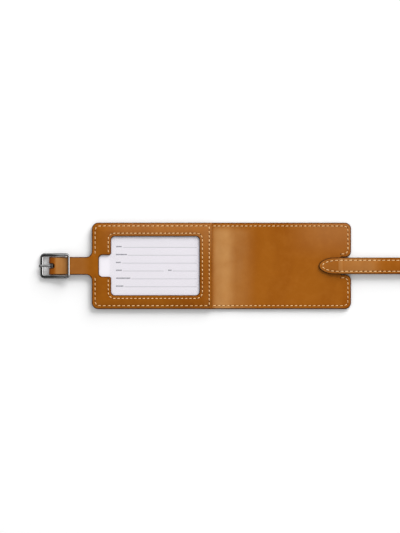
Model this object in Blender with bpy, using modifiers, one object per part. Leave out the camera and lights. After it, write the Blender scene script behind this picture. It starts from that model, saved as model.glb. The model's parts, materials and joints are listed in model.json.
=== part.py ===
"""A bifold leather luggage tag, lying open and flat.

Metres, +Z up. The origin is on the fold line, half way across the width, on the underside of
the outer leather. The window panel runs to -X and carries the buckle. The cover panel runs to
+X and carries the strap.
"""

import math

import bmesh
import bpy
from mathutils import Matrix, Vector

# Panels
PANEL_LENGTH = 0.1035
PANEL_HALF_WIDTH = 0.0345
PANEL_CORNER = 0.005
OUTER_THICKNESS = 0.0012
LINING_THICKNESS = 0.0009
PLY_GAP = 0.00005
FOLD_REACH = 0.0015  # how far the window half runs past the fold line
FOLD_GAP = 0.0003

# Window frame, pocket, film and card
FRAME_RIGHT = -0.0076
FRAME_EDGE_THICKNESS = 0.00165
FRAME_THICKNESS = 0.00105  # over the pocket, and in the tab
WINDOW_LEFT = -0.088
WINDOW_RIGHT = -0.0177
WINDOW_HALF = 0.0234
WINDOW_CORNER = 0.003
THUMB_LEFT = -0.0978
THUMB_HALF = 0.0086
THUMB_INNER_CORNER = 0.0028
THUMB_OUTER_CORNER = 0.0018
POCKET_LEFT = -0.1001
POCKET_HALF = 0.0276
CARD_LENGTH = 0.0889
CARD_WIDTH = 0.0508
CARD_THICKNESS = 0.00025
CARD_LEFT = -0.0997
CARD_CLEARANCE = 0.0001
FILM_LEFT = -0.0919
FILM_RIGHT = -0.0136
FILM_HALF = 0.0272
FILM_THICKNESS = 0.0002
FILM_NOTCH = -0.0893
FILM_NOTCH_HALF = 0.0098

# Tab, loop and buckle
TAB_HALF = 0.0071
TAB_FILLET = 0.0045
TAB_STUB = -0.11  # the frame's flat outline runs to here, and the folded tab goes on
BAR_X = -0.1356
BAR_RADIUS = 0.00095
BAR_SHOULDER = 0.0071
BAR_HALF_LENGTH = 0.0097
TRUNNION_RADIUS = 0.00055
TRUNNION_HOLE = 0.00062
LOOP_CLEARANCE = 0.0001
LOOP_FLOOR = 0.0001  # height of the loop's lowest point
TAB_OVERLAP = 0.008  # how far the folded tab reaches into the flat outline
TAB_UNDER_GAP = 0.0007  # between the tab's end and the panels' edge
UPPER_KNEE = (0.008, 0.55)  # distance from the bar, and share of the rise to it
LOWER_KNEE = (0.0063, 0.6)
CREST_REACH = 0.002  # the tab is level with the bar for this far before it turns down
SLOT_RIGHT = -0.1336
SLOT_HALF = 0.00175
SLOT_CORNER = 0.0016
SLOT_DEPTH = 0.006  # past the bar's axis, clear of the loop
BUCKLE_LEFT = -0.1434  # centre of the bar that the prong rests on
BUCKLE_RIGHT = -0.1218  # centre of the bar that bridges the tab
BUCKLE_LEFT_RADIUS = 0.00135
BUCKLE_RIGHT_RADIUS = 0.00097
BUCKLE_TAPER = 0.0035  # the ring thins over this length next to its right bar
BUCKLE_OUTER_HALF = 0.01005
BUCKLE_CORNER = 0.0017
BUCKLE_LEFT_HEIGHT = 0.00145
BUCKLE_RIGHT_HEIGHT = 0.0053
EYE_RADIUS = 0.00175
EYE_HALF_WIDTH = 0.00125
BUCKLE_STEP = 0.003  # longest straight length of the buckle's centre line
PRONG_LINE = (  # distance from the pin, height over it, and radius
    (-0.0011, 0.0005, 0.0009),
    (-0.0032, 0.00135, 0.00085),
    (-0.0048, 0.00168, 0.0008),
    (-0.0074, 0.0017, 0.0008),
    (-0.0083, 0.0017, 0.00092),
    (-0.0089, 0.0016, 0.00105),
    (-0.0094, 0.00146, 0.00105),
    (-0.0098, 0.0013, 0.0008),
    (-0.00995, 0.00122, 0.0004),
)

# Notch in the cover's free edge
NOTCH_BOTTOM = 0.0952
NOTCH_HALF = 0.0069
NOTCH_MOUTH = 0.0045
NOTCH_CORNER = 0.001

# Strap
STRAP_HALF = 0.00665
STRAP_START = 0.0776
STRAP_END = 0.26
STRAP_POINT = 0.0115  # length of a pointed end
POINT_ROUNDNESS = 1.7  # 2 would make the end half an ellipse
STRAP_UNDER_THICKNESS = 0.001
STRAP_TOP_THICKNESS = 0.0011
STRAP_ROOT = 0.096
CURL_START = 0.165
CURL_PITCH = 0.0086
CURL_JOINTS = 6
CUT = 0.00015  # half the gap between two lengths of strap
HOLE_RADIUS = 0.0013
HOLE_PITCH = 0.01
HOLE_COUNT = 4
LAST_HOLE = 0.244

# Stitching
THREAD_HALF = 0.00025
THREAD_HEIGHT = 0.00022
THREAD_GAP = 0.00003
EDGE_INSET = 0.0026
EDGE_LINE = 0.0318  # distance of the long edge stitches from the centre line
STITCH_CORNER = 0.003
SEAM_X = -0.00985
WINDOW_STITCH_LEFT = -0.0904
WINDOW_STITCH_RIGHT = -0.0153
WINDOW_STITCH_HALF = 0.026
WINDOW_STITCH_CORNER = 0.0042
TAB_STITCH_END = 0.0095
NOTCH_STITCH_END = 0.0957
NOTCH_STITCH_HALF = 0.0095
STRAP_STITCH_HALF = 0.0044
STRAP_STITCH_INSET = 0.0026

ARC_STEPS = 6
POINT_STEPS = 12
ROUND_SEGMENTS = 24
WELD = 0.00001
MITRE_LIMIT = 0.3
PIVOT_SIZE = 0.005
CUTTER_REACH = 0.01  # a cutter's overshoot

# Heights that follow from the plies
LINING_LOW = OUTER_THICKNESS + PLY_GAP
LINING_TOP = LINING_LOW + LINING_THICKNESS
FRAME_LOW = LINING_TOP + PLY_GAP
FRAME_TOP = FRAME_LOW + FRAME_EDGE_THICKNESS
POCKET_TOP = FRAME_TOP - FRAME_THICKNESS
CARD_LOW = LINING_TOP + CARD_CLEARANCE
CARD_TOP = CARD_LOW + CARD_THICKNESS
FILM_TOP = POCKET_TOP - PLY_GAP / 2
FILM_LOW = FILM_TOP - FILM_THICKNESS
STRAP_LOW = LINING_TOP + PLY_GAP
STRAP_MIDDLE = STRAP_LOW + STRAP_UNDER_THICKNESS
STRAP_TOP_LOW = STRAP_MIDDLE + PLY_GAP
STRAP_TOP = STRAP_TOP_LOW + STRAP_TOP_THICKNESS
CURL_HEIGHT = STRAP_TOP + THREAD_GAP + THREAD_HEIGHT
FOLD_HEIGHT = (FRAME_TOP + CURL_HEIGHT + THREAD_GAP + THREAD_HEIGHT) / 2 + CARD_CLEARANCE / 2
LOOP_RADIUS = BAR_RADIUS + LOOP_CLEARANCE
BAR_Z = LOOP_FLOOR + FRAME_THICKNESS + LOOP_RADIUS

LEATHER = (0.66, 0.37, 0.11)
LEATHER_DARK = (0.52, 0.28, 0.08)
THREAD = (0.93, 0.80, 0.60)
CARD = (0.90, 0.89, 0.91)
FILM = (0.95, 0.97, 0.98)
STEEL = (0.72, 0.72, 0.74)


def clear_scene():
    for obj in list(bpy.data.objects):
        bpy.data.objects.remove(obj, do_unlink=True)


def new_collection(name):
    collection = bpy.data.collections.new(name)
    bpy.context.scene.collection.children.link(collection)
    return collection


def linear(channel):
    """One sRGB channel as the linear value that a shader takes."""
    if channel <= 0.04045:
        return channel / 12.92
    return ((channel + 0.055) / 1.055) ** 2.4


def new_material(name, colour, roughness, metallic=0.0, alpha=1.0):
    material = bpy.data.materials.new(name)
    material.use_nodes = True
    shader = material.node_tree.nodes["Principled BSDF"]
    shader.inputs["Base Color"].default_value = (*[linear(c) for c in colour], 1.0)
    shader.inputs["Roughness"].default_value = roughness
    shader.inputs["Metallic"].default_value = metallic
    shader.inputs["Alpha"].default_value = alpha
    return material


def new_pivot(name, location, parent=None):
    """An empty on a joint's axis. The location is given in the world."""
    pivot = bpy.data.objects.new(name, None)
    pivot.empty_display_size = PIVOT_SIZE
    pivot.location = location
    parts.objects.link(pivot)
    if parent is not None:
        pivot.parent = parent
        pivot.location = Vector(location) - Vector(parent["place"])
    pivot["place"] = location
    return pivot


def add_part(obj, material, pivot):
    """Files a finished object under its pivot without moving it."""
    obj.data.materials.clear()
    obj.data.materials.append(material)
    parts.objects.link(obj)
    obj.parent = pivot
    obj.matrix_parent_inverse = Matrix.Translation(-Vector(pivot["place"]))


def rounded(corners, closed=True):
    """A path through (x, y, radius) corners, each radius as an arc tangent to both sides."""
    path = []
    count = len(corners)
    for index, (x, y, radius) in enumerate(corners):
        here = Vector((x, y))
        if radius == 0 or (not closed and index in (0, count - 1)):
            path.append(here)
            continue
        before = Vector(corners[index - 1][:2]) - here
        after = Vector(corners[(index + 1) % count][:2]) - here
        opening = before.angle(after)
        middle = (before.normalized() + after.normalized()).normalized()
        centre = here + middle * radius / math.sin(opening / 2)
        first = here + before.normalized() * radius / math.tan(opening / 2) - centre
        last = here + after.normalized() * radius / math.tan(opening / 2) - centre
        turn = first.angle_signed(last)
        for step in range(ARC_STEPS + 1):
            spin = Matrix.Rotation(-turn * step / ARC_STEPS, 2)
            path.append(centre + spin @ first)
    return path


def stroke(path, half):
    """The closed outline of an open path drawn with a pen of the given half width."""
    left, right = [], []
    for index, here in enumerate(path):
        back = here - path[index - 1] if index > 0 else path[1] - here
        ahead = path[index + 1] - here if index + 1 < len(path) else back
        side = (back.normalized() + ahead.normalized()).normalized().orthogonal()
        reach = half / max(side.dot(back.normalized().orthogonal()), MITRE_LIMIT)
        left.append(here + side * reach)
        right.append(here - side * reach)
    return left + right[::-1]


def new_plate(name, outlines, low, high):
    """A flat sheet from closed outlines. Outlines inside the first one are holes."""
    curve = bpy.data.curves.new(name, "CURVE")
    curve.dimensions = "2D"
    curve.fill_mode = "BOTH"
    curve.extrude = (high - low) / 2
    for outline in outlines:
        spline = curve.splines.new("POLY")
        spline.points.add(len(outline) - 1)
        for point, corner in zip(spline.points, outline):
            point.co = (corner[0], corner[1], 0.0, 1.0)
        spline.use_cyclic_u = True
    plate = bpy.data.objects.new(name, curve)
    plate.location.z = (low + high) / 2
    return plate


def new_rod(name, path, radii, cyclic=False):
    """A round bar along a 3-D path, with one radius for each point."""
    curve = bpy.data.curves.new(name, "CURVE")
    curve.dimensions = "3D"
    curve.bevel_depth = 1.0
    curve.bevel_resolution = 2
    curve.use_fill_caps = not cyclic
    spline = curve.splines.new("POLY")
    spline.points.add(len(path) - 1)
    for point, place, radius in zip(spline.points, path, radii):
        point.co = (*place, 1.0)
        point.radius = radius
    spline.use_cyclic_u = cyclic
    return bpy.data.objects.new(name, curve)


def as_mesh(curve_object):
    """The curve object as a welded mesh, so that it can be cut and joined."""
    cutters.objects.link(curve_object)
    bpy.context.view_layer.update()
    graph = bpy.context.evaluated_depsgraph_get()
    mesh = bpy.data.meshes.new_from_object(curve_object.evaluated_get(graph), depsgraph=graph)
    work = bmesh.new()
    work.from_mesh(mesh)
    bmesh.ops.remove_doubles(work, verts=work.verts, dist=WELD)
    bmesh.ops.recalc_face_normals(work, faces=work.faces)
    work.to_mesh(mesh)
    work.free()
    name = curve_object.name
    world = curve_object.matrix_world.copy()
    bpy.data.objects.remove(curve_object)
    solid = bpy.data.objects.new(name, mesh)
    solid.matrix_world = world
    return solid


def new_cylinder(name, radius, half_length, location):
    """A cylinder along Y."""
    mesh = bpy.data.meshes.new(name)
    work = bmesh.new()
    bmesh.ops.create_cone(
        work,
        cap_ends=True,
        segments=ROUND_SEGMENTS,
        radius1=radius,
        radius2=radius,
        depth=2 * half_length,
        matrix=Matrix.Rotation(math.radians(90), 4, "X"),
    )
    work.to_mesh(mesh)
    work.free()
    cylinder = bpy.data.objects.new(name, mesh)
    cylinder.location = location
    return cylinder


def add_cutter(obj):
    obj.hide_render = True
    obj.display_type = "WIRE"
    cutters.objects.link(obj)
    return obj


def plate_cutter(name, outline, low, high):
    return add_cutter(as_mesh(new_plate(name, [outline], low, high)))


def boolean(target, tool, operation):
    modifier = target.modifiers.new(tool.name, "BOOLEAN")
    modifier.operation = operation
    modifier.solver = "EXACT"
    modifier.object = tool


def along_y(plate):
    """Turns a plate drawn in X and Y so that it stands in X and Z, on the centre line."""
    plate.location.z = 0.0
    plate.rotation_euler.x = math.radians(90)
    return plate


def box_outline(left, right, half):
    return [Vector(p) for p in ((left, -half), (right, -half), (right, half), (left, half))]


def point_profile(length, half):
    """Half widths of a pointed strap end, as (distance from the tip, half width)."""
    profile = []
    for step in range(1, POINT_STEPS + 1):
        share = (step / POINT_STEPS) ** 2
        width = half * math.sqrt(1 - (1 - share) ** POINT_ROUNDNESS)
        profile.append((length * share, width))
    return profile


def pointed_line(tip, direction, length, half, end):
    """A path from end, round a pointed tip and back to end. direction leads away from the tip."""
    upper = [Vector((tip + direction * along, width)) for along, width in point_profile(length, half)]
    lower = [Vector((p.x, -p.y)) for p in upper]
    path = [Vector((end, -half))] + lower[::-1] + [Vector((tip, 0.0))] + upper
    return path + [Vector((end, half))]


def window_half_outline():
    return rounded(
        [
            (FOLD_REACH, -PANEL_HALF_WIDTH, 0),
            (FOLD_REACH, PANEL_HALF_WIDTH, 0),
            (-PANEL_LENGTH, PANEL_HALF_WIDTH, PANEL_CORNER),
            (-PANEL_LENGTH, -PANEL_HALF_WIDTH, PANEL_CORNER),
        ]
    )


def cover_half_outline():
    left = FOLD_REACH + FOLD_GAP
    return rounded(
        [
            (left, PANEL_HALF_WIDTH, 0),
            (left, -PANEL_HALF_WIDTH, 0),
            (PANEL_LENGTH, -PANEL_HALF_WIDTH, PANEL_CORNER),
            (PANEL_LENGTH, -NOTCH_HALF, NOTCH_MOUTH),
            (NOTCH_BOTTOM, -NOTCH_HALF, NOTCH_CORNER),
            (NOTCH_BOTTOM, NOTCH_HALF, NOTCH_CORNER),
            (PANEL_LENGTH, NOTCH_HALF, NOTCH_MOUTH),
            (PANEL_LENGTH, PANEL_HALF_WIDTH, PANEL_CORNER),
        ]
    )


def frame_outline():
    """The window frame's flat outline, with the root of the tab."""
    return rounded(
        [
            (FRAME_RIGHT, -PANEL_HALF_WIDTH, 0),
            (FRAME_RIGHT, PANEL_HALF_WIDTH, 0),
            (-PANEL_LENGTH, PANEL_HALF_WIDTH, PANEL_CORNER),
            (-PANEL_LENGTH, TAB_HALF, TAB_FILLET),
            (TAB_STUB, TAB_HALF, 0),
            (TAB_STUB, -TAB_HALF, 0),
            (-PANEL_LENGTH, -TAB_HALF, TAB_FILLET),
            (-PANEL_LENGTH, -PANEL_HALF_WIDTH, PANEL_CORNER),
        ]
    )


def window_opening():
    """The window with its thumb notch, as one hole."""
    return rounded(
        [
            (WINDOW_RIGHT, -WINDOW_HALF, WINDOW_CORNER),
            (WINDOW_RIGHT, WINDOW_HALF, WINDOW_CORNER),
            (WINDOW_LEFT, WINDOW_HALF, WINDOW_CORNER),
            (WINDOW_LEFT, THUMB_HALF, THUMB_OUTER_CORNER),
            (THUMB_LEFT, THUMB_HALF, THUMB_INNER_CORNER),
            (THUMB_LEFT, -THUMB_HALF, THUMB_INNER_CORNER),
            (WINDOW_LEFT, -THUMB_HALF, THUMB_OUTER_CORNER),
            (WINDOW_LEFT, -WINDOW_HALF, WINDOW_CORNER),
        ]
    )


def film_outline():
    """The film, cut away behind the thumb notch."""
    return [
        Vector(p)
        for p in (
            (FILM_RIGHT, -FILM_HALF),
            (FILM_RIGHT, FILM_HALF),
            (FILM_LEFT, FILM_HALF),
            (FILM_LEFT, FILM_NOTCH_HALF),
            (FILM_NOTCH, FILM_NOTCH_HALF),
            (FILM_NOTCH, -FILM_NOTCH_HALF),
            (FILM_LEFT, -FILM_NOTCH_HALF),
            (FILM_LEFT, -FILM_HALF),
        )
    ]


def tab_profile():
    """The tab from the side: along the top, round the bar, and back under to the panel."""
    half = FRAME_THICKNESS / 2
    radius = LOOP_RADIUS + half
    flat = POCKET_TOP + half
    upper_at_bar = BAR_Z + radius
    rise = upper_at_bar - flat
    under = FRAME_THICKNESS + PLY_GAP
    path = [
        Vector((TAB_STUB + TAB_OVERLAP, flat)),
        Vector((TAB_STUB, flat)),
        Vector((BAR_X + UPPER_KNEE[0], flat + rise * UPPER_KNEE[1])),
        Vector((BAR_X + CREST_REACH, upper_at_bar)),
    ]
    steps = 3 * ARC_STEPS
    for step in range(steps + 1):
        angle = math.radians(90 + 180 * step / steps)
        path.append(Vector((BAR_X + radius * math.cos(angle), BAR_Z + radius * math.sin(angle))))
    path += [
        Vector((BAR_X + CREST_REACH, BAR_Z - radius)),
        Vector((BAR_X + LOWER_KNEE[0], flat + rise * LOWER_KNEE[1] - under)),
        Vector((TAB_STUB, flat - under)),
        Vector((-PANEL_LENGTH - TAB_UNDER_GAP, flat - under)),
    ]
    return stroke(path, half)


def buckle_height(x):
    """Height of the buckle's centre line: a parabola through its two end bars and the pin."""
    nodes = (
        (BUCKLE_LEFT, BUCKLE_LEFT_HEIGHT),
        (BAR_X, BAR_Z),
        (BUCKLE_RIGHT, BUCKLE_RIGHT_HEIGHT),
    )
    height = 0.0
    for here, value in nodes:
        weight = 1.0
        for other, _ in nodes:
            if other != here:
                weight *= (x - other) / (here - other)
        height += weight * value
    return height


def buckle_radius(x):
    share = max(0.0, (x - BUCKLE_RIGHT + BUCKLE_TAPER) / BUCKLE_TAPER)
    return BUCKLE_LEFT_RADIUS + share * (BUCKLE_RIGHT_RADIUS - BUCKLE_LEFT_RADIUS)


def with_steps(path, longest):
    """The closed path with extra points, so that no side is longer than asked."""
    dense = []
    for index, here in enumerate(path):
        ahead = path[(index + 1) % len(path)]
        pieces = max(1, math.ceil((ahead - here).length / longest))
        for piece in range(pieces):
            dense.append(here.lerp(ahead, piece / pieces))
    return dense


def make_panels():
    for name, low, high, material in (
        ("outer_leather", 0.0, OUTER_THICKNESS, leather),
        ("lining", LINING_LOW, LINING_TOP, leather_dark),
    ):
        half = new_plate(name + "_window", [window_half_outline()], low, high)
        add_part(half, material, tag)
        half = new_plate(name + "_cover", [cover_half_outline()], low, high)
        add_part(half, material, cover_fold)


def make_window_frame():
    """The frame with its card pocket, and the tab folded round the bar and slotted."""
    frame = as_mesh(new_plate("window_frame", [frame_outline(), window_opening()], FRAME_LOW, FRAME_TOP))
    pocket = box_outline(POCKET_LEFT, 0.0, POCKET_HALF)
    boolean(frame, plate_cutter("pocket", pocket, 0.0, POCKET_TOP), "DIFFERENCE")
    under_tab = box_outline(TAB_STUB - CUTTER_REACH, -PANEL_LENGTH, PANEL_HALF_WIDTH)
    boolean(frame, plate_cutter("under_tab", under_tab, 0.0, POCKET_TOP), "DIFFERENCE")
    tab = add_cutter(as_mesh(along_y(new_plate("folded_tab", [tab_profile()], -TAB_HALF, TAB_HALF))))
    boolean(frame, tab, "UNION")
    slot = rounded(
        [
            (BAR_X - SLOT_DEPTH, -SLOT_HALF, 0),
            (SLOT_RIGHT, -SLOT_HALF, SLOT_CORNER),
            (SLOT_RIGHT, SLOT_HALF, SLOT_CORNER),
            (BAR_X - SLOT_DEPTH, SLOT_HALF, 0),
        ]
    )
    boolean(frame, plate_cutter("prong_slot", slot, -CUTTER_REACH, CUTTER_REACH), "DIFFERENCE")
    add_part(frame, leather, tag)


def make_film_and_card():
    add_part(new_plate("window_film", [film_outline()], FILM_LOW, FILM_TOP), film, tag)
    card = box_outline(CARD_LEFT, CARD_LEFT + CARD_LENGTH, CARD_WIDTH / 2)
    add_part(new_plate("id_card", [card], CARD_LOW, CARD_TOP), paper, card_slide)


def add_cord(name, path, surface, pivot):
    """A line of thread lying just above a surface."""
    low = surface + THREAD_GAP
    cord = new_plate(name, [stroke(path, THREAD_HALF)], low, low + THREAD_HEIGHT)
    add_part(cord, thread, pivot)


def make_panel_stitching():
    edge_x = -PANEL_LENGTH + EDGE_INSET
    window_edge = rounded(
        [
            (edge_x, TAB_STITCH_END, 0),
            (edge_x, EDGE_LINE, STITCH_CORNER),
            (SEAM_X, EDGE_LINE, 0),
            (SEAM_X, -EDGE_LINE, 0),
            (edge_x, -EDGE_LINE, STITCH_CORNER),
            (edge_x, -TAB_STITCH_END, 0),
        ],
        closed=False,
    )
    add_cord("edge_stitching_window", window_edge, FRAME_TOP, tag)
    window = rounded(
        [
            (WINDOW_STITCH_LEFT, TAB_STITCH_END, 0),
            (WINDOW_STITCH_LEFT, WINDOW_STITCH_HALF, WINDOW_STITCH_CORNER),
            (WINDOW_STITCH_RIGHT, WINDOW_STITCH_HALF, WINDOW_STITCH_CORNER),
            (WINDOW_STITCH_RIGHT, -WINDOW_STITCH_HALF, WINDOW_STITCH_CORNER),
            (WINDOW_STITCH_LEFT, -WINDOW_STITCH_HALF, WINDOW_STITCH_CORNER),
            (WINDOW_STITCH_LEFT, -TAB_STITCH_END, 0),
        ],
        closed=False,
    )
    add_cord("window_stitching", window, FRAME_TOP, tag)
    for name, side in (("upper", 1), ("lower", -1)):
        cover_edge = rounded(
            [
                (FOLD_REACH + 3 * FOLD_GAP, side * EDGE_LINE, 0),
                (-edge_x, side * EDGE_LINE, STITCH_CORNER),
                (-edge_x, side * NOTCH_STITCH_HALF, STITCH_CORNER),
                (NOTCH_STITCH_END, side * NOTCH_STITCH_HALF, 0),
            ],
            closed=False,
        )
        add_cord("edge_stitching_cover_" + name, cover_edge, LINING_TOP, cover_fold)


def strap_length_outline(start, end):
    return box_outline(start + CUT, end - CUT, STRAP_HALF)


def make_strap():
    """The strap's sewn end, its straight lengths and its pointed free end, each of two plies."""
    plies = (("lining", STRAP_LOW, STRAP_MIDDLE), ("top", STRAP_TOP_LOW, STRAP_TOP))
    anchor = pointed_line(STRAP_START, 1, STRAP_POINT, STRAP_HALF, STRAP_ROOT - CUT)
    cuts = [STRAP_ROOT] + [CURL_START + CURL_PITCH * k for k in range(CURL_JOINTS)]
    tip = pointed_line(STRAP_END, -1, STRAP_POINT, STRAP_HALF, cuts[-1] + CUT)
    holes = [hole_outline(LAST_HOLE - HOLE_PITCH * k) for k in range(HOLE_COUNT)]
    for ply, low, high in plies:
        material = leather if ply == "top" else leather_dark
        add_part(new_plate("strap_anchor_" + ply, [anchor], low, high), material, cover_fold)
        for index in range(len(cuts) - 1):
            outline = strap_length_outline(cuts[index], cuts[index + 1])
            name = f"strap_{ply}_{index + 1}"
            add_part(new_plate(name, [outline], low, high), material, strap_pivots[index])
        name = f"strap_{ply}_{len(cuts)}"
        add_part(new_plate(name, [tip] + holes, low, high), material, strap_pivots[-1])
    inset = STRAP_STITCH_INSET
    half = STRAP_STITCH_HALF
    sewn = pointed_line(STRAP_START + inset, 1, STRAP_POINT, half, STRAP_ROOT - CUT)
    add_cord("strap_anchor_stitching", sewn, STRAP_TOP, cover_fold)
    for index in range(len(cuts) - 1):
        for name, side in (("left", 1), ("right", -1)):
            line = [
                Vector((cuts[index] + CUT, side * half)),
                Vector((cuts[index + 1] - CUT, side * half)),
            ]
            add_cord(f"strap_stitch_{name}_{index + 1}", line, STRAP_TOP, strap_pivots[index])
    sewn = pointed_line(STRAP_END - inset, -1, STRAP_POINT, half, cuts[-1] + CUT)
    add_cord("strap_tip_stitching", sewn, STRAP_TOP, strap_pivots[-1])


def hole_outline(x):
    steps = 2 * ARC_STEPS
    angles = [2 * math.pi * step / steps for step in range(steps)]
    return [Vector((x + HOLE_RADIUS * math.cos(a), HOLE_RADIUS * math.sin(a))) for a in angles]


def make_buckle():
    left_half = BUCKLE_OUTER_HALF - BUCKLE_LEFT_RADIUS
    right_half = BUCKLE_OUTER_HALF - BUCKLE_RIGHT_RADIUS
    taper_start = BUCKLE_RIGHT - BUCKLE_TAPER
    flat = rounded(
        [
            (BUCKLE_LEFT, -left_half, BUCKLE_CORNER),
            (taper_start, -left_half, 0),
            (BUCKLE_RIGHT, -right_half, BUCKLE_CORNER),
            (BUCKLE_RIGHT, right_half, BUCKLE_CORNER),
            (taper_start, left_half, 0),
            (BUCKLE_LEFT, left_half, BUCKLE_CORNER),
        ]
    )
    flat = with_steps(flat, BUCKLE_STEP)
    path = [(p.x, p.y, buckle_height(p.x)) for p in flat]
    radii = [buckle_radius(p.x) for p in flat]
    frame = as_mesh(new_rod("buckle_frame", path, radii, cyclic=True))
    hole = new_cylinder("pin_hole", TRUNNION_HOLE, 2 * BUCKLE_OUTER_HALF, (BAR_X, 0.0, BAR_Z))
    boolean(frame, add_cutter(hole), "DIFFERENCE")
    add_part(frame, steel, buckle_pivot)

    profile = [
        (0.0, BAR_HALF_LENGTH),
        (TRUNNION_RADIUS, BAR_HALF_LENGTH),
        (TRUNNION_RADIUS, BAR_SHOULDER),
        (BAR_RADIUS, BAR_SHOULDER),
        (BAR_RADIUS, -BAR_SHOULDER),
        (TRUNNION_RADIUS, -BAR_SHOULDER),
        (TRUNNION_RADIUS, -BAR_HALF_LENGTH),
        (0.0, -BAR_HALF_LENGTH),
    ]
    mesh = bpy.data.meshes.new("buckle_bar")
    edges = [(k, k + 1) for k in range(len(profile) - 1)]
    mesh.from_pydata([(x, 0.0, z) for x, z in profile], edges, [])
    bar = bpy.data.objects.new("buckle_bar", mesh)
    turn = bar.modifiers.new("turned", "SCREW")
    turn.steps = ROUND_SEGMENTS
    turn.render_steps = ROUND_SEGMENTS
    turn.use_merge_vertices = True
    turn.merge_threshold = WELD
    bar.location = (BAR_X, 0.0, BAR_Z)
    bar.rotation_euler.x = math.radians(90)
    add_part(bar, steel, buckle_pivot)


def make_prong():
    """An eye round the pin, and a shank that lies on the far bar and ends in a round tip."""
    eye = new_cylinder("buckle_prong", EYE_RADIUS, EYE_HALF_WIDTH, (BAR_X, 0.0, BAR_Z))
    path = [(BAR_X + x, 0.0, BAR_Z + z) for x, z, _ in PRONG_LINE]
    shank = add_cutter(as_mesh(new_rod("shank", path, [radius for _, _, radius in PRONG_LINE])))
    boolean(eye, shank, "UNION")
    bore = new_cylinder("eye_bore", LOOP_RADIUS, 2 * EYE_HALF_WIDTH, (BAR_X, 0.0, BAR_Z))
    boolean(eye, add_cutter(bore), "DIFFERENCE")
    add_part(eye, steel, prong_pivot)


clear_scene()
parts = new_collection("luggage_tag")
cutters = new_collection("cutters")
leather = new_material("leather", LEATHER, 0.45)
leather_dark = new_material("lining_leather", LEATHER_DARK, 0.5)
thread = new_material("thread", THREAD, 0.8)
paper = new_material("card", CARD, 0.6)
film = new_material("film", FILM, 0.08, alpha=0.25)
steel = new_material("polished_steel", STEEL, 0.18, metallic=1.0)

tag = new_pivot("tag", (0.0, 0.0, 0.0))
card_slide = new_pivot("card_slide", (CARD_LEFT, 0.0, CARD_LOW), tag)
cover_fold = new_pivot("cover_fold", (0.0, 0.0, FOLD_HEIGHT), tag)
strap_pivots = [new_pivot("strap_root", (STRAP_ROOT, 0.0, STRAP_LOW), cover_fold)]
for joint in range(CURL_JOINTS):
    place = (CURL_START + CURL_PITCH * joint, 0.0, CURL_HEIGHT)
    strap_pivots.append(new_pivot(f"strap_curl_{joint + 1}", place, strap_pivots[-1]))
buckle_pivot = new_pivot("buckle_pivot", (BAR_X, 0.0, BAR_Z), tag)
prong_pivot = new_pivot("prong_pivot", (BAR_X, 0.0, BAR_Z), buckle_pivot)

make_panels()
make_window_frame()
make_film_and_card()
make_panel_stitching()
make_strap()
make_buckle()
make_prong()
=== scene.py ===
"""The looks of a bifold leather luggage tag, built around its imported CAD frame.

Lengths are in metres. The window panel lies at -X, the fold at X = 0 and the cover panel at +X.
A leather piece is an outline in plan, filled with a grid and given a height on each of its faces.
Stitches follow the same paths as the grooves that they lie in.
"""

import json
import math

import bmesh
import bpy
import numpy as np
from mathutils import Matrix, Vector


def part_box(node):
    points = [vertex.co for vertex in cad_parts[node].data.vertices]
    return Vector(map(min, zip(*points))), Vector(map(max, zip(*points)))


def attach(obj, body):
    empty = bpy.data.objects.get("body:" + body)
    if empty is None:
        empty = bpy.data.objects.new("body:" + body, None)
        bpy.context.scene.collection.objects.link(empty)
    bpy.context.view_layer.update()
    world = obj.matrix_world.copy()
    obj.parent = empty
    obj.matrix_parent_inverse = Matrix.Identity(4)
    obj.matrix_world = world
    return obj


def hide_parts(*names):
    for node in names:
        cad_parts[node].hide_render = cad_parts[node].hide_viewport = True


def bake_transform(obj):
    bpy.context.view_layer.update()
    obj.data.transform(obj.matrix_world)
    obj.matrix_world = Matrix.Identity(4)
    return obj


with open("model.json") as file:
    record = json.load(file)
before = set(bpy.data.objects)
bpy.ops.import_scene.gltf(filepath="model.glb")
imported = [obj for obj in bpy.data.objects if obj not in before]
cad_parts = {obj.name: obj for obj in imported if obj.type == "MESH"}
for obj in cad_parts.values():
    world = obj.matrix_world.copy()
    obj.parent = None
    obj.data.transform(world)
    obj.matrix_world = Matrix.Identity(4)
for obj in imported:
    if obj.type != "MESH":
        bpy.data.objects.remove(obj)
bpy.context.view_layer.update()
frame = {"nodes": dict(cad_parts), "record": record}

# Places taken from the CAD frame
JOINTS = {joint["name"]: joint for joint in frame["record"]["behaviour"]["joints"]}
PANEL_LOW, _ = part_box("outer_leather_window")
_, PANEL_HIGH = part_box("outer_leather_cover")
LEFT = PANEL_LOW[0]
RIGHT, HALF_WIDTH = PANEL_HIGH[:2]
OUTER_LOW = PANEL_LOW[2]
OUTER_TOP = PANEL_HIGH[2]
LINING_LOW, LINING_TOP = (corner[2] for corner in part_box("lining_cover"))
EDGE_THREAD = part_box("edge_stitching_window")
WINDOW_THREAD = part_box("window_stitching")
THREAD_GAP = 0.00003  # between the CAD's thread and the leather under it
THREAD_HALF = 0.00025  # half the width of the CAD's thread
FRAME_TOP = WINDOW_THREAD[0][2] - THREAD_GAP
CARD_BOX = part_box("id_card")
FILM_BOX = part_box("window_film")
STRAP_TOP_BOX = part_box("strap_anchor_top")
STRAP_UNDER_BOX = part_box("strap_anchor_lining")
STRAP_START = STRAP_TOP_BOX[0][0]
STRAP_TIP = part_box("strap_top_7")[1][0]
BAR = Vector(JOINTS["buckle_pivot"]["pos_m"])
BAR_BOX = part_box("buckle_bar")
BAR_RADIUS = (BAR_BOX[1][2] - BAR_BOX[0][2]) / 2
BUCKLE_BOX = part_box("buckle_frame")
STRAP_ROOT = JOINTS["strap_root"]["pos_m"][0]
CURLS = [JOINTS[f"strap_curl_{k}"]["pos_m"][0] for k in range(1, 7)]

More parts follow.
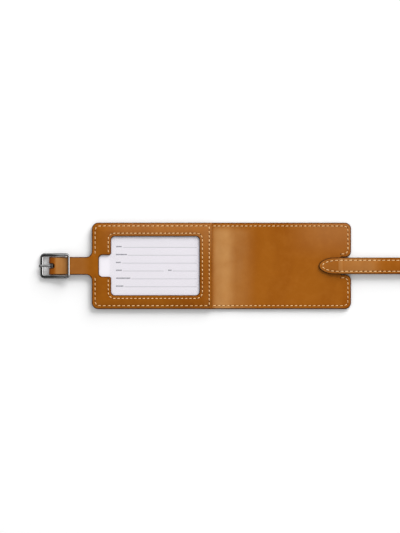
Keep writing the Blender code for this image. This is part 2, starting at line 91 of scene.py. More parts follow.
# Panels
CORNER = 0.005
EDGE_ROUND = 0.00042
OUTER_EDGE_ROUND = 0.0005
EDGE_MARGIN = 1.2  # the flat ring inside a rounded edge, as a share of the rounding
PAINT_WIDTH = 0.0004  # how far the edge paint reaches over the face
HIDE_WAVE = 0.00004
PANEL_GRID = 0.003  # spacing of the mesh in plan, away from stitches and bends
LEATHER_GRID = 0.002
FOLD_REACH = 0.0055  # the leather bends over this far each side of the fold line
FOLD_GRID = ((-FOLD_REACH, FOLD_REACH, 0.0007), (-FOLD_REACH / 2, FOLD_REACH / 2, 0.00034))
FOLD = ("window_panel", "cover_panel", (-FOLD_REACH, 0, LINING_TOP), (FOLD_REACH, 0, LINING_TOP))
FOLD_DIPS = ((0.0085, 0.00026, 0.0065), (0.001, -0.00005, 0.003))  # centre, depth and width
FOLD_CALM = (0.012, 0.03)  # the lining's unevenness comes in between these distances from the fold
NOTCH_HALF = 0.0069
NOTCH_BOTTOM = 0.0952
NOTCH_MOUTH = 0.0045
NOTCH_CORNER = 0.001
LINING_EDGE_DROP = 0.0001
LINING_EDGE_WIDTH = 0.0022

# Window frame and tab
FRAME_RIGHT = -0.0076
FRAME_THICKNESS = 0.00105
FRAME_EDGE_ROUND = 0.00038
FRAME_PRESS = 0.0009  # how far its sewn border is pressed down
FRAME_SLOPE = (-0.002, 0.0078)  # distances from the edge where that border starts and stops rising
ROLL_DROP = 0.00018  # the leather rolls down this far at the window's edge
ROLL_WIDTH = 0.002
WINDOW_MARGIN = 0.0026  # window edge to the stitch line round it
WINDOW_CORNER = 0.003
THUMB_LEFT = -0.0978
THUMB_HALF = 0.0086
THUMB_INNER = 0.0028
THUMB_OUTER = 0.0018
TAB_HALF = 0.0071
TAB_FILLET = 0.0045
TAB_STUB = -0.11
TAB_RISE = ((0.008, 0.55), (0.002, 1.0))  # distance from the bar, and the share of its height
LOOP_LEAVES_BAR = 0.0022
LOOP_MEETS_TAB = (0.0063, 0.6)  # the same two values as in TAB_RISE
TAB_TAIL = 0.0007  # the loop's end stops this far outside the panel
TAB_SMOOTHING = 7  # points of its path that are averaged
TAB_POINTS = 400
TAB_GRID = 0.0022
SLOT_GRID = 0.00035
SLOT_HALF = 0.00175
SLOT_CORNER = SLOT_HALF * 0.95
SLOT_REACH = 0.002  # from the bar's axis to each end of the prong's slot
LOOP_CLEARANCE = 0.0001
PLY_GAP = 0.00005

# Card, its print and the film over it
CARD_CORNER = 0.0006
CARD_EDGE_ROUND = 0.00005
CARD_GRID = 0.006
PRINT_LEFT = 0.0155  # from the card's edges
PRINT_RIGHT = 0.0088
PRINT_TOP = 0.0106
PRINT_PITCH = 0.0063
PRINT_ROWS = (5, 9, 4, 5, 12, 6)  # how many plain blocks stand where each line's label would be
SPLIT_ROW = 3  # this line stops early and a second one follows it, with its own blocks
SPLIT_LENGTH = 0.0325
SPLIT_GAP = 0.0035
SPLIT_BLOCKS = 3
BLOCK = 0.00072
BLOCK_GAP = 0.00024
BLOCK_RISE = (0.0001, 0.00105)  # above the writing line
LABEL_GAP = 0.0008
LINE_HALF = 0.0001
INK_HEIGHTS = (-0.00002, 0.000012)  # from the card's face
FILM_CORNER = 0.001
FILM_NOTCH = -0.0893
FILM_NOTCH_HALF = 0.0098
FILM_NOTCH_CORNER = 0.0004
FILM_EDGE_ROUND = 0.00008
FILM_GRID = 0.003

# Stitching
THREAD_RADIUS = 0.00031
THREAD_TWIST = 0.00042  # how far along a stitch its two plies turn by one radian
PLY_SWELL = 0.2  # how far the plies stand out, as a share of the thread's radius
STITCH_SLANT = 0.00013
STITCH_RINGS = 11
STITCH_CORNERS = 10
EDGE_LINE = 0.0318
EDGE_X = EDGE_THREAD[0][0] + THREAD_HALF
EDGE_STITCH_CORNER = 0.003
SEAM_X = -0.00985
SEAM_INSET = 0.0006
FRAME_STITCH_END = SEAM_X - 0.0014
COVER_STITCH_START = FRAME_RIGHT + 0.0008
FOLD_STITCH_END = FOLD_REACH + 0.003  # stitches up to here lie in the fold's stretch and are not attached to the cover panel
TAB_STITCH_END = 0.0095
WINDOW_LINE = (WINDOW_THREAD[0][0] + THREAD_HALF, WINDOW_THREAD[1][0] - THREAD_HALF)
WINDOW_LINE_HALF = WINDOW_THREAD[1][1] - THREAD_HALF
WINDOW_LINE_CORNER = WINDOW_CORNER + 0.0016
WINDOW_STITCH_END = 0.0108
NOTCH_STITCH_HALF = 0.0095
NOTCH_STITCH_END = 0.0957
STRAP_STITCH_HALF = 0.0044
STRAP_STITCH_INSET = 0.0026
NEEDLE_CORNERS = 12
HOLE_OFFSET = 0.0004  # from a stitch's end to the middle of its needle hole
HOLE_STRETCH = 1.3  # a needle hole is longer along the seam than across it
HOLE_RINGS = ((0.00046, -0.00012), (0.0004, 0.00005), (0.00034, 0.00005), (0.00018, -0.00002))
FRAME_STITCH = (0.00385, 0.66)  # pitch, and the share of it that thread takes up
SEAM_STITCH = (0.00336, 0.66)
COVER_STITCH = (0.0036, 0.64)
STRAP_STITCH = (0.00376, 0.7)
GROOVE_DEPTH = 0.00014
GROOVE_WIDTH = 0.00045
GROOVE_GRID = (-0.0011, -0.0006, -0.00025, 0.00025, 0.0006, 0.0011)  # grid places across a groove
DEEP_GROOVE = 0.0002

# Strap
STRAP_POINT = 0.0115  # length of its pointed ends
POINT_STEPS = 16
POINT_FULLNESS = 1.7  # 2 makes the point round, less makes it sharper
STRAP_CROWN = 0.00012
STRAP_SHOULDER = 0.0022
STRAP_STEP = 0.0016  # width of the swell where the strap leaves the notch
STRAP_EDGE_ROUND = 0.0004
STRAP_GRID = 0.0025
STRAP_GRID_ACROSS = 0.0015
ROOT_BEND = 0.006  # the strap's first bend takes up this much past the notch
ROOT_GRID = 0.0008
CURL_MARGIN = 0.0045
CURL_GRID = 0.00086
CUT_MARGIN = 0.01  # the first and last cuts lie this far outside the strap
HOLE_RADIUS = 0.0013
HOLE_CORNERS = 20
HOLE_PITCH = 0.01
HOLE_COUNT = 4
LAST_HOLE = 0.016  # from the tip

# Buckle ring: it is thick at the prong's bar and thins next to the bar over the tab
RING_THICK = 0.00135  # half of its width
RING_THIN = 0.00097
RING_TAPER = 0.0035
RING_CORNER = 0.0019
RING_HALF_HEIGHTS = (0.00115, 0.00095)
RING_LOW = 0.00145  # height of the prong's bar
RING_STEPS = 160
RING_SECTION_STEPS = 28
RING_TILT = 12  # degrees by which the side bars face outwards where they meet the thin bar
END_SQUARENESS = 2.2  # 2 is an ellipse, more is closer to a box
SIDE_SQUARENESS = 3.5

# The prong: its eye, and its shank as distance from the pin, height over it, half width and
# half height
EYE_RADIUS = 0.0016
EYE_HALF = 0.00112
EYE_SQUARENESS = 4.0
EYE_STEPS = 48
SHANK_STEPS = 56
SHARP_ANGLE = 40  # degrees
BORE_HALF = 0.003
PRONG_LINE = (
    (0.0003, 0.0011, 0.0008, 0.0003),
    (-0.0003, 0.00118, 0.00095, 0.0005),
    (-0.0014, 0.00128, 0.00096, 0.00068),
    (-0.0026, 0.00142, 0.00092, 0.00076),
    (-0.004, 0.00158, 0.00086, 0.00078),
    (-0.0055, 0.0017, 0.00082, 0.00078),
    (-0.007, 0.00172, 0.00084, 0.0008),
    (-0.008, 0.0017, 0.00098, 0.0009),
    (-0.0087, 0.00162, 0.00114, 0.00102),
    (-0.0092, 0.0015, 0.00116, 0.00104),
    (-0.0096, 0.00138, 0.00098, 0.0009),
    (-0.00985, 0.00128, 0.00064, 0.0006),
    (-0.00995, 0.00122, 0.0003, 0.0003),
)

# Studio
SKY_LEVEL = 0.6
SKY_MIRRORED = 1.1
SKY_TILT = (0.62, 0.62, 0.0)  # the mirrored studio is brighter towards the key light's side
SKY_TOP = (0.9, 0.84)  # heights on the unit sphere between which the mirrored dome fades in
SKY_FOOT = (0.2, 0.6)
KEY_LIGHT = ("key", (3.0, 4.9, 1.95), 4.6, 680)  # name, place, size and power
BUCKLE_SHINES = (  # soft boxes that only the buckle mirrors
    ("shine_right", (2.4, 0.5, 1.9), 4.0, 65),
    ("shine_near", (-1.2, -2.3, 1.8), 2.2, 4),
)
FLOOR_REACH = 6
FLOOR_DROP = 0.00002
CAMERA_LENS = 100
CAMERA_PLACE = (-0.0172, -0.0005)
CAMERA_REACH = 10
VIEW_HEIGHT = 0.4264  # what the camera sees at the floor, from top to bottom

# Mesh work
ARC_STEPS = 8
MITRE_LIMIT = 0.4
TINY = 1e-8


# ---- paths


def rounded(corners, closed=True):
    """Points of a path through (x, y, radius) corners, with an arc at each radius."""
    path = []
    count = len(corners)
    for index, (x, y, radius) in enumerate(corners):
        here = Vector((x, y))
        if radius == 0 or (not closed and index in (0, count - 1)):
            path.append(here)
            continue
        before = (Vector(corners[index - 1][:2]) - here).normalized()
        after = (Vector(corners[(index + 1) % count][:2]) - here).normalized()
        opening = before.angle(after)
        centre = here + (before + after).normalized() * radius / math.sin(opening / 2)
        first = here + before * radius / math.tan(opening / 2) - centre
        last = here + after * radius / math.tan(opening / 2) - centre
        turn = first.angle_signed(last)
        for step in range(ARC_STEPS + 1):
            path.append(centre + Matrix.Rotation(-turn * step / ARC_STEPS, 2) @ first)
    return np.array([(p.x, p.y) for p in path])


def mirrored(half, closed=True):
    """A path through (x, y, radius) corners and then through their mirror images across X."""
    return rounded(half + [(x, -y, radius) for x, y, radius in reversed(half)], closed)


def on_both_sides(upper):
    """An open path through (x, y, radius) corners, and its mirror image across X."""
    return [rounded([(x, side * y, r) for x, y, r in upper], closed=False) for side in (1, -1)]


def turned(loop, anticlockwise):
    """The loop, running the way asked."""
    x, y = loop[:, 0], loop[:, 1]
    area = np.sum(x * np.roll(y, -1) - np.roll(x, -1) * y)
    return loop if (area > 0) == anticlockwise else loop[::-1]


def left_normals(loop):
    """At each point of a closed loop, the mitred unit offset to its left side."""
    ahead = np.roll(loop, -1, axis=0) - loop
    ahead /= np.linalg.norm(ahead, axis=1)[:, None]
    back = np.roll(ahead, 1, axis=0)
    side = np.stack([-(ahead + back)[:, 1], (ahead + back)[:, 0]], axis=1)
    side /= np.linalg.norm(side, axis=1)[:, None]
    flat = np.stack([-ahead[:, 1], ahead[:, 0]], axis=1)
    return side / np.maximum(np.sum(side * flat, axis=1), MITRE_LIMIT)[:, None]


def distance_to(points, path, closed=False):
    """The distance in plan from each point to a path."""
    if closed:
        path = np.vstack([path, path[:1]])
    best = np.full(len(points), np.inf)
    for start, end in zip(path[:-1], path[1:]):
        along = end - start
        length = along @ along
        if length < TINY**2:
            continue
        share = np.clip(((points - start) @ along) / length, 0, 1)
        gap = points - start - share[:, None] * along
        best = np.minimum(best, np.einsum("ij,ij->i", gap, gap))
    return np.sqrt(best)


def arc_lengths(path):
    return np.concatenate([[0.0], np.cumsum(np.linalg.norm(np.diff(path, axis=0), axis=1))])


def at_length(path, lengths, places):
    """Points of the path at the given distances along it."""
    return np.stack([np.interp(places, lengths, path[:, k]) for k in range(path.shape[1])], axis=1)


def smooth_step(value, low, high):
    share = np.clip((value - low) / (high - low), 0, 1)
    return share * share * (3 - 2 * share)


def pointed_end(tip, direction, half, end):
    """A path from end, round a pointed tip and back. direction leads away from the tip."""
    share = (np.arange(1, POINT_STEPS + 1) / POINT_STEPS) ** 2
    along = tip + direction * STRAP_POINT * share
    width = half * np.sqrt(1 - (1 - share) ** POINT_FULLNESS)
    upper = np.stack([along, width], axis=1)
    lower = np.stack([along, -width], axis=1)[::-1]
    return np.vstack([[(end, -half)], lower, [(tip, 0.0)], upper, [(end, half)]])


# ---- sheets of leather


def spread(low, high, pitch, *bands):
    """Grid places from low to high, closer together in each band of (low, high, pitch)."""
    places = list(np.arange(low + pitch / 2, high, pitch))
    for start, end, fine in bands:
        places = [p for p in places if p < start - fine or p > end + fine]
        places += list(np.arange(start, end + fine / 2, fine))
    return sorted(p for p in places if low < p < high)


def groove_lines(*centres):
    """Grid places that give a groove its shape along each centre line."""
    return [centre + offset for centre in centres for offset in GROOVE_GRID]


def cut_faces(work, axis, place):
    """Cuts the faces that reach across a place along one axis."""
    touched = []
    for face in work.faces:
        along = [v.co[axis] for v in face.verts]
        if min(along) < place - TINY and max(along) > place + TINY:
            touched.append(face)
    edges = {e for f in touched for e in f.edges}
    verts = {v for f in touched for v in f.verts}
    normal = Vector((1, 0, 0)) if axis == 0 else Vector((0, 1, 0))
    plane = {"plane_co": normal * place, "plane_no": normal}
    bmesh.ops.bisect_plane(work, geom=[*touched, *edges, *verts], dist=TINY, **plane)


def grid_fill(loops, xs, ys):
    """Flat faces inside the first loop and outside the others, cut along a grid.

    Gives the points, the faces, and the closed rims with the faces on their left.
    """
    work = bmesh.new()
    filler = work.edges.layers.int.new("filler")
    for loop in loops:
        verts = [work.verts.new((x, y, 0.0)) for x, y in loop]
        for index, vert in enumerate(verts):
            work.edges.new((vert, verts[(index + 1) % len(verts)]))
    bmesh.ops.triangle_fill(work, use_beauty=True, edges=work.edges[:])
    for edge in work.edges:
        edge[filler] = 0 if edge.is_boundary else 1
    for axis, places in ((0, xs), (1, ys)):
        for place in places:
            cut_faces(work, axis, place)
    doomed = [e for e in work.edges if e[filler] == 1 and not e.is_boundary]
    bmesh.ops.dissolve_edges(work, edges=doomed, use_verts=False)
    loose = [v for v in work.verts if len(v.link_edges) == 2 and not v.is_boundary]
    bmesh.ops.dissolve_verts(work, verts=loose)
    work.normal_update()
    for face in work.faces:
        if face.normal.z < 0:
            face.normal_flip()
    work.verts.index_update()
    points = np.array([v.co[:2] for v in work.verts])
    faces = [[v.index for v in f.verts] for f in work.faces]
    sides = [e.link_loops[0] for e in work.edges if e.is_boundary]
    ahead = {side.vert.index: side.link_loop_next.vert.index for side in sides}
    work.free()
    rims = []
    while ahead:
        rim = [next(iter(ahead))]
        while ahead[rim[-1]] != rim[0]:
            rim.append(ahead.pop(rim[-1]))
        ahead.pop(rim[-1])
        rims.append(rim)
    return points, faces, rims


def leather_sheet(name, outline, holes, top, bottom, xs, ys, edge=EDGE_ROUND, shape=None):
    """A sheet with rounded edges. top and bottom give its heights at points in plan."""
    loops = [turned(outline, True)] + [turned(hole, False) for hole in holes]
    margin = edge * EDGE_MARGIN
    inner = [loop + left_normals(loop) * (edge + margin) for loop in loops]
    points, faces, rims = grid_fill(inner, xs, ys)
    count = len(points)
    order = [index for rim in rims for index in rim]
    outward = -np.vstack([left_normals(points[rim]) for rim in rims])
    shoulder = points[order] + outward * margin
    verts = [np.column_stack([points, height(points)]) for height in (top, bottom)]
    rings = [np.array(order)]
    for height, way, turns in ((top, -1, (0, 30, 60, 90)), (bottom, 1, (90, 60, 30, 0))):
        level = height(shoulder)
        for turn in np.radians(turns):
            plan = shoulder + outward * edge * math.sin(turn)
            verts.append(np.column_stack([plan, level + way * edge * (1 - math.cos(turn))]))
            rings.append(np.arange(len(order)) + 2 * count + (len(rings) - 1) * len(order))
    rings.append(rings[0] + count)
    polygons = faces + [[index + count for index in reversed(face)] for face in faces]
    position = {index: place for place, index in enumerate(order)}
    after = [position[index] for rim in rims for index in rim[1:] + rim[:1]]
    for above, below in zip(rings[:-1], rings[1:]):
        polygons += np.stack([below, below[after], above[after], above], axis=1).tolist()
    verts = np.vstack(verts)
    gap = np.min([distance_to(points, loop, closed=True) for loop in loops], axis=0)
    worn = np.exp(-((np.maximum(gap - edge, 0) / PAINT_WIDTH) ** 2))
    worn = np.concatenate([worn, worn, np.ones(len(verts) - 2 * count)])
    mesh = bpy.data.meshes.new(name)
    mesh.from_pydata((shape(verts) if shape else verts).tolist(), [], polygons)
    add_point_values(mesh, "edge", worn)
    add_point_values(mesh, "rest", verts)
    mesh.shade_smooth()
    mesh.validate()
    return mesh


def add_point_values(mesh, name, values):
    """Stores a number, or a vector, for each point of a mesh."""
    values = np.asarray(values, np.float32)
    kind, field = ("FLOAT", "value") if values.ndim == 1 else ("FLOAT_VECTOR", "vector")
    mesh.attributes.new(name, kind, "POINT").data.foreach_set(field, values.ravel())


def new_piece(mesh, material, nodes=(), body=None, bend=None):
    """An object for a mesh. It may stand for CAD nodes, and it follows a body; given a bend, its
    transform is only baked into its mesh.
    """
    piece = bpy.data.objects.new(mesh.name, mesh)
    bpy.context.scene.collection.objects.link(piece)
    mesh.materials.append(material)
    if nodes:
        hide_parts(*nodes)
    if body:
        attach(piece, body)
    if bend:
        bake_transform(piece)
    return piece


def groove(distance, depth=GROOVE_DEPTH, width=GROOVE_WIDTH):
    """The height of a soft groove at a distance from its middle line."""
    return -depth * np.exp(-((distance / width) ** 2))


# ---- outlines and stitch lines


def panel_outline():
    """The open tag, with the notch at its right end where the strap comes out."""
    return mirrored(
        [
            (LEFT, -HALF_WIDTH, CORNER),
            (RIGHT, -HALF_WIDTH, CORNER),
            (RIGHT, -NOTCH_HALF, NOTCH_MOUTH),
            (NOTCH_BOTTOM, -NOTCH_HALF, NOTCH_CORNER),
        ]
    )


def frame_outline(tab_end):
    """The window frame and its tab, laid out flat."""
    return mirrored(
        [
            (FRAME_RIGHT, HALF_WIDTH, 0),
            (LEFT, HALF_WIDTH, CORNER),
            (LEFT, TAB_HALF, TAB_FILLET),
            (tab_end, TAB_HALF, 0),
        ]
    )


def window_outline():
    """The window's opening, with the thumb notch on its left."""
    left = WINDOW_THREAD[0][0] + WINDOW_MARGIN
    right = WINDOW_THREAD[1][0] - WINDOW_MARGIN
    half = WINDOW_LINE_HALF - WINDOW_MARGIN
    return mirrored(
        [
            (right, half, WINDOW_CORNER),
            (left, half, WINDOW_CORNER),
            (left, THUMB_HALF, THUMB_OUTER),
            (THUMB_LEFT, THUMB_HALF, THUMB_INNER),
        ]
    )


def frame_edge_paths():
    """The stitch lines along the window panel's outer edges, above and below the tab."""
    return on_both_sides(
        [
            (EDGE_X, TAB_STITCH_END, 0),
            (EDGE_X, EDGE_LINE, EDGE_STITCH_CORNER),
            (FRAME_STITCH_END, EDGE_LINE, 0),
        ]
    )


def seam_path():
    """The stitch line along the frame's edge next to the fold."""
    end = EDGE_LINE - SEAM_INSET
    return np.array([(SEAM_X, end), (SEAM_X, -end)])


def window_path():
    """The stitch line round the window, which is open at the thumb notch."""
    left, right = WINDOW_LINE
    return mirrored(
        [
            (left, WINDOW_STITCH_END, 0),
            (left, WINDOW_LINE_HALF, WINDOW_LINE_CORNER),
            (right, WINDOW_LINE_HALF, WINDOW_LINE_CORNER),
        ],
        closed=False,
    )


def cover_edge_paths():
    """The stitch lines round the cover panel, above and below the strap."""
    return on_both_sides(
        [
            (COVER_STITCH_START, EDGE_LINE, 0),
            (-EDGE_X, EDGE_LINE, EDGE_STITCH_CORNER),
            (-EDGE_X, NOTCH_STITCH_HALF, EDGE_STITCH_CORNER),
            (NOTCH_STITCH_END, NOTCH_STITCH_HALF, 0),
        ]
    )


def strap_stitch_path():
    start, tip = STRAP_START + STRAP_STITCH_INSET, STRAP_TIP - STRAP_STITCH_INSET
    return pointed_loop(start, tip, STRAP_STITCH_HALF)


def pointed_loop(start, tip, half):
    """A closed path round a strip with two pointed ends."""
    middle = (start + tip) / 2
    near = pointed_end(start, 1, half, middle)
    far = pointed_end(tip, -1, half, middle)
    return np.vstack([near, far[::-1][1:]])


# ---- heights


def frame_rise(points):
    """The frame's smooth height: low along its sewn sides, full over the card and at the tab.

    The tab lies outside the panel, and the pressed border fades out where it runs into the tab.
    """
    x, y = points[:, 0], points[:, 1]
    from_side = np.minimum(HALF_WIDTH - np.abs(y), np.maximum(x - LEFT, 0))
    on_panel = smooth_step(x, LEFT - 0.001, LEFT + 0.002)
    near_tab = 1 - smooth_step(np.abs(y), TAB_HALF - 0.001, TAB_HALF + 0.005)
    at_tab = near_tab * (1 - smooth_step(x, LEFT + 0.001, LEFT + 0.006))
    low = 1 - smooth_step(from_side, *FRAME_SLOPE)
    return FRAME_TOP - FRAME_PRESS * low * on_panel * (1 - at_tab)


def grooved(height, points, paths, depth=GROOVE_DEPTH):
    """The height, pressed in along each stitch line."""
    for path in paths:
        height = height + groove(distance_to(points, path), depth)
    return height


def frame_top(points):
    """The window frame's grain side, with its sewing grooves and its rolled window edge."""
    paths = [*frame_edge_paths(), seam_path(), window_path()]
    window = distance_to(points, window_outline(), closed=True)
    roll = ROLL_DROP * (1 - smooth_step(window, 0, ROLL_WIDTH))
    return grooved(frame_rise(points), points, paths) - roll + waves(points)


def frame_underside(points):
    """The frame's flesh side, pared thin where the border meets the lining."""
    under = frame_rise(points) - FRAME_THICKNESS
    return np.where(points[:, 0] > LEFT - 0.001, np.maximum(under, LINING_TOP + PLY_GAP), under)


def outer_under(points):
    """The outer leather's grain side, which faces down when the tag lies open."""
    paths = frame_edge_paths() + cover_edge_paths()
    return grooved(np.full(len(points), OUTER_LOW), points, paths, -DEEP_GROOVE)


def lining_top(points):
    """The lining's grain side: it dips beside the fold and along its painted edge."""
    x = points[:, 0]
    height = LINING_TOP + sum(groove(x - place, depth, width) for place, depth, width in FOLD_DIPS)
    edge = distance_to(points, panel_outline(), closed=True)
    height -= LINING_EDGE_DROP * (1 - smooth_step(edge, 0, LINING_EDGE_WIDTH))
    uneven = waves(points) * smooth_step(x, *FOLD_CALM)
    return grooved(height, points, cover_edge_paths()) + uneven


def pared(points, level):
    """A strap height, pressed down towards the lining where the strap's end is pared and sewn."""
    share = 0.5 + 0.5 * smooth_step(points[:, 0], STRAP_START, NOTCH_BOTTOM)
    base = STRAP_UNDER_BOX[0][2]
    return base + (level - base) * share


def strap_top(points):
    """The strap's upper face, slightly crowned between its two rows of stitches."""
    y = points[:, 1]
    height = pared(points, STRAP_TOP_BOX[1][2])
    height += STRAP_CROWN * (np.cos(y / STRAP_STITCH_HALF * math.pi / 2) - 0.5)
    shoulder = smooth_step(np.abs(y), STRAP_STITCH_HALF, STRAP_STITCH_HALF + STRAP_SHOULDER)
    height -= STRAP_CROWN * shoulder
    height -= groove(points[:, 0] - NOTCH_BOTTOM, STRAP_CROWN, STRAP_STEP)
    return grooved(height, points, [strap_stitch_path()], DEEP_GROOVE)


def strap_under(points):
    """The strap's under side, with the same two rows of stitches."""
    height = pared(points, STRAP_UNDER_BOX[0][2])
    return grooved(height, points, [strap_stitch_path()], -DEEP_GROOVE)


def waves(points):
    """Slow unevenness of a hide, as a few crossed sine waves."""
    x, y = points[:, 0], points[:, 1]
    swell = np.sin(x * 190 + 1.3) * np.cos(y * 240 + 0.4)
    swell += 0.6 * np.sin(x * 330 - y * 150 + 2.0) + 0.4 * np.cos(x * 90 + y * 410)
    return HIDE_WAVE * swell / 2


# ---- stitches


def tube_mesh(name, tubes, closed=False, smooth=True):
    """One mesh of several tubes. Each is a list of rings of points, capped unless it is closed."""
    verts, faces = [], []
    for rings in tubes:
        base, count, corners = len(verts), len(rings), len(rings[0])
        verts += [tuple(point) for ring in rings for point in ring]
        for ring in range(count if closed else count - 1):
            here, ahead = base + ring * corners, base + (ring + 1) % count * corners
            for corner in range(corners):
                after = (corner + 1) % corners
                faces.append((here + corner, here + after, ahead + after, ahead + corner))
        if not closed:
            faces.append(tuple(range(base, base + corners))[::-1])
            faces.append(tuple(range(len(verts) - corners, len(verts))))
    mesh = bpy.data.meshes.new(name)
    mesh.from_pydata(verts, [], faces)
    work = bmesh.new()
    work.from_mesh(mesh)
    bmesh.ops.recalc_face_normals(work, faces=work.faces)
    work.to_mesh(mesh)
    work.free()
    if smooth:
        mesh.shade_smooth()
    return mesh


def circle_angles(corners):
    return np.linspace(0, 2 * math.pi, corners, endpoint=False)


def stitch_rings(start, end, height, way):
    """One stitch between two points in plan: a length of two-ply thread that dips into its holes.

    height gives the height of the face it shows on, and way is 1 for a face that looks up.
    """
    ground = way * float(np.mean(height(np.array([start, end, (start + end) / 2]))))
    length = np.linalg.norm(end - start)
    along = (end - start) / length
    across = np.array([-along[1], along[0]])
    rings = []
    for share in np.linspace(0, 1, STITCH_RINGS):
        lift = max(math.sin(math.pi * share), 0) ** 0.6
        thick = THREAD_RADIUS * (0.55 + 0.45 * lift)
        plan = start + along * length * share + across * way * STITCH_SLANT * (2 * share - 1)
        level = ground + THREAD_RADIUS * (1.25 * lift - 0.75)
        ring = []
        for angle in circle_angles(STITCH_CORNERS):
            ply = math.cos(2 * angle - share * length / THREAD_TWIST)
            strand = thick * (1 + PLY_SWELL * ply)
            side = plan + across * math.cos(angle) * strand
            ring.append((*side, way * (level + math.sin(angle) * strand * 0.85)))
        rings.append(ring)
    return rings


def needle_hole_rings(place, height, along, way):
    """A needle hole at the end of a stitch, as a small dish in the leather whose dark colour is
    painted shade.
    """
    across = np.array([-along[1], along[0]])
    angles = circle_angles(NEEDLE_CORNERS)
    rings = []
    for radius, lift in HOLE_RINGS:
        plan = place + np.outer(np.cos(angles) * radius * HOLE_STRETCH, along)
        plan = plan + np.outer(np.sin(angles) * radius, across)
        rings.append(np.column_stack([plan, height(plan) + way * lift]))
    return rings


def stitches_on(path, pitch, fill):
    """Start and end points of evenly spaced stitches that take up a share of each pitch."""
    lengths = arc_lengths(path)
    total = lengths[-1] + pitch * (1 - fill)
    count = max(1, round(total / pitch))
    step = total / count
    starts = np.arange(count) * step
    ends = starts + step * fill
    return list(zip(at_length(path, lengths, starts), at_length(path, lengths, ends)))


def middle_x(stitch):
    return (stitch[0][0] + stitch[1][0]) / 2


def sew(name, stitches, upper, under=None):
    """Two meshes: the thread of the stitches and the needle holes between them.

    upper and under give the heights of the two faces that the thread shows on.
    """
    threads, holes = [], []
    for height, way in ((upper, 1), (under, -1)):
        for start, end in stitches if height else []:
            along = (end - start) / np.linalg.norm(end - start)
            threads.append(stitch_rings(start, end, height, way))
            holes.append(needle_hole_rings(end + along * HOLE_OFFSET, height, along, way))
    return tube_mesh(name, threads), tube_mesh(name + "_holes", holes)


def sewn_pieces(name, stitches, upper, under, nodes=(), body=None, bend=None):
    """The thread and the needle holes of a row of stitches, as two pieces."""
    thread, holes = sew(name, stitches, upper, under)
    new_piece(thread, THREAD, nodes, body, bend)
    new_piece(holes, HOLE_SHADE, (), body, bend)


# ---- materials


def srgb(red, green, blue):
    """A colour in 0 to 255 steps as linear light."""
    out = []
    for channel in (red, green, blue):
        value = channel / 255
        out.append(value / 12.92 if value <= 0.04045 else ((value + 0.055) / 1.055) ** 2.4)
    return (*out, 1.0)


NOISE_INPUTS = ("Vector", "Scale", "Detail", "Roughness", "Distortion")


class Nodes:
    """A short way to write the node tree of a material or a world."""

    def __init__(self, owner):
        owner.use_nodes = True
        self.owner = owner
        self.tree = owner.node_tree
        self.shader = self.tree.nodes.get("Principled BSDF")

    def node(self, kind, inputs=None, output=0, **settings):
        """Adds a node with its inputs and settings, and gives one of its outputs."""
        node = self.tree.nodes.new("ShaderNode" + kind)
        for key, value in settings.items():
            setattr(node, key, value)
        for key, value in (inputs or {}).items():
            self.feed(node.inputs[key], value)
        return node.outputs[output]

    def feed(self, socket, value):
        if isinstance(value, bpy.types.NodeSocket):
            self.tree.links.new(value, socket)
        else:
            socket.default_value = value

    def object_place(self):
        return self.node("TexCoord", output="Object")

    def split(self, vector):
        return self.node("SeparateXYZ", {0: vector}).node.outputs

    def noise(self, vector, scale, detail=3.0, roughness=0.5, distortion=0.0):
        values = (vector, scale, detail, roughness, distortion)
        return self.node("TexNoise", dict(zip(NOISE_INPUTS, values)))

    def maths(self, operation, *values, clamp=False):
        return self.node("Math", dict(enumerate(values)), operation=operation, use_clamp=clamp)

    def times(self, first, *others):
        for other in others:
            first = self.maths("MULTIPLY", first, other)
        return first

    def between(self, value, low, high, to_low=0.0, to_high=1.0, kind="LINEAR"):
        values = dict(enumerate((value, low, high, to_low, to_high)))
        return self.node("MapRange", values, interpolation_type=kind)

    def soft_step(self, value, low, high):
        return self.between(value, low, high, kind="SMOOTHSTEP")

    def mix(self, share, first, second):
        """A colour between two others."""
        return self.node("Mix", {0: share, 6: first, 7: second}, output=2, data_type="RGBA")

    def bump(self, height, distance, strength):
        return self.node("Bump", {"Height": height, "Distance": distance, "Strength": strength})

    def set(self, **inputs):
        for name, value in inputs.items():
            self.feed(self.shader.inputs[name.replace("_", " ")], value)


def new_nodes(name):
    """The nodes of a new material."""
    return Nodes(bpy.data.materials.new(name))


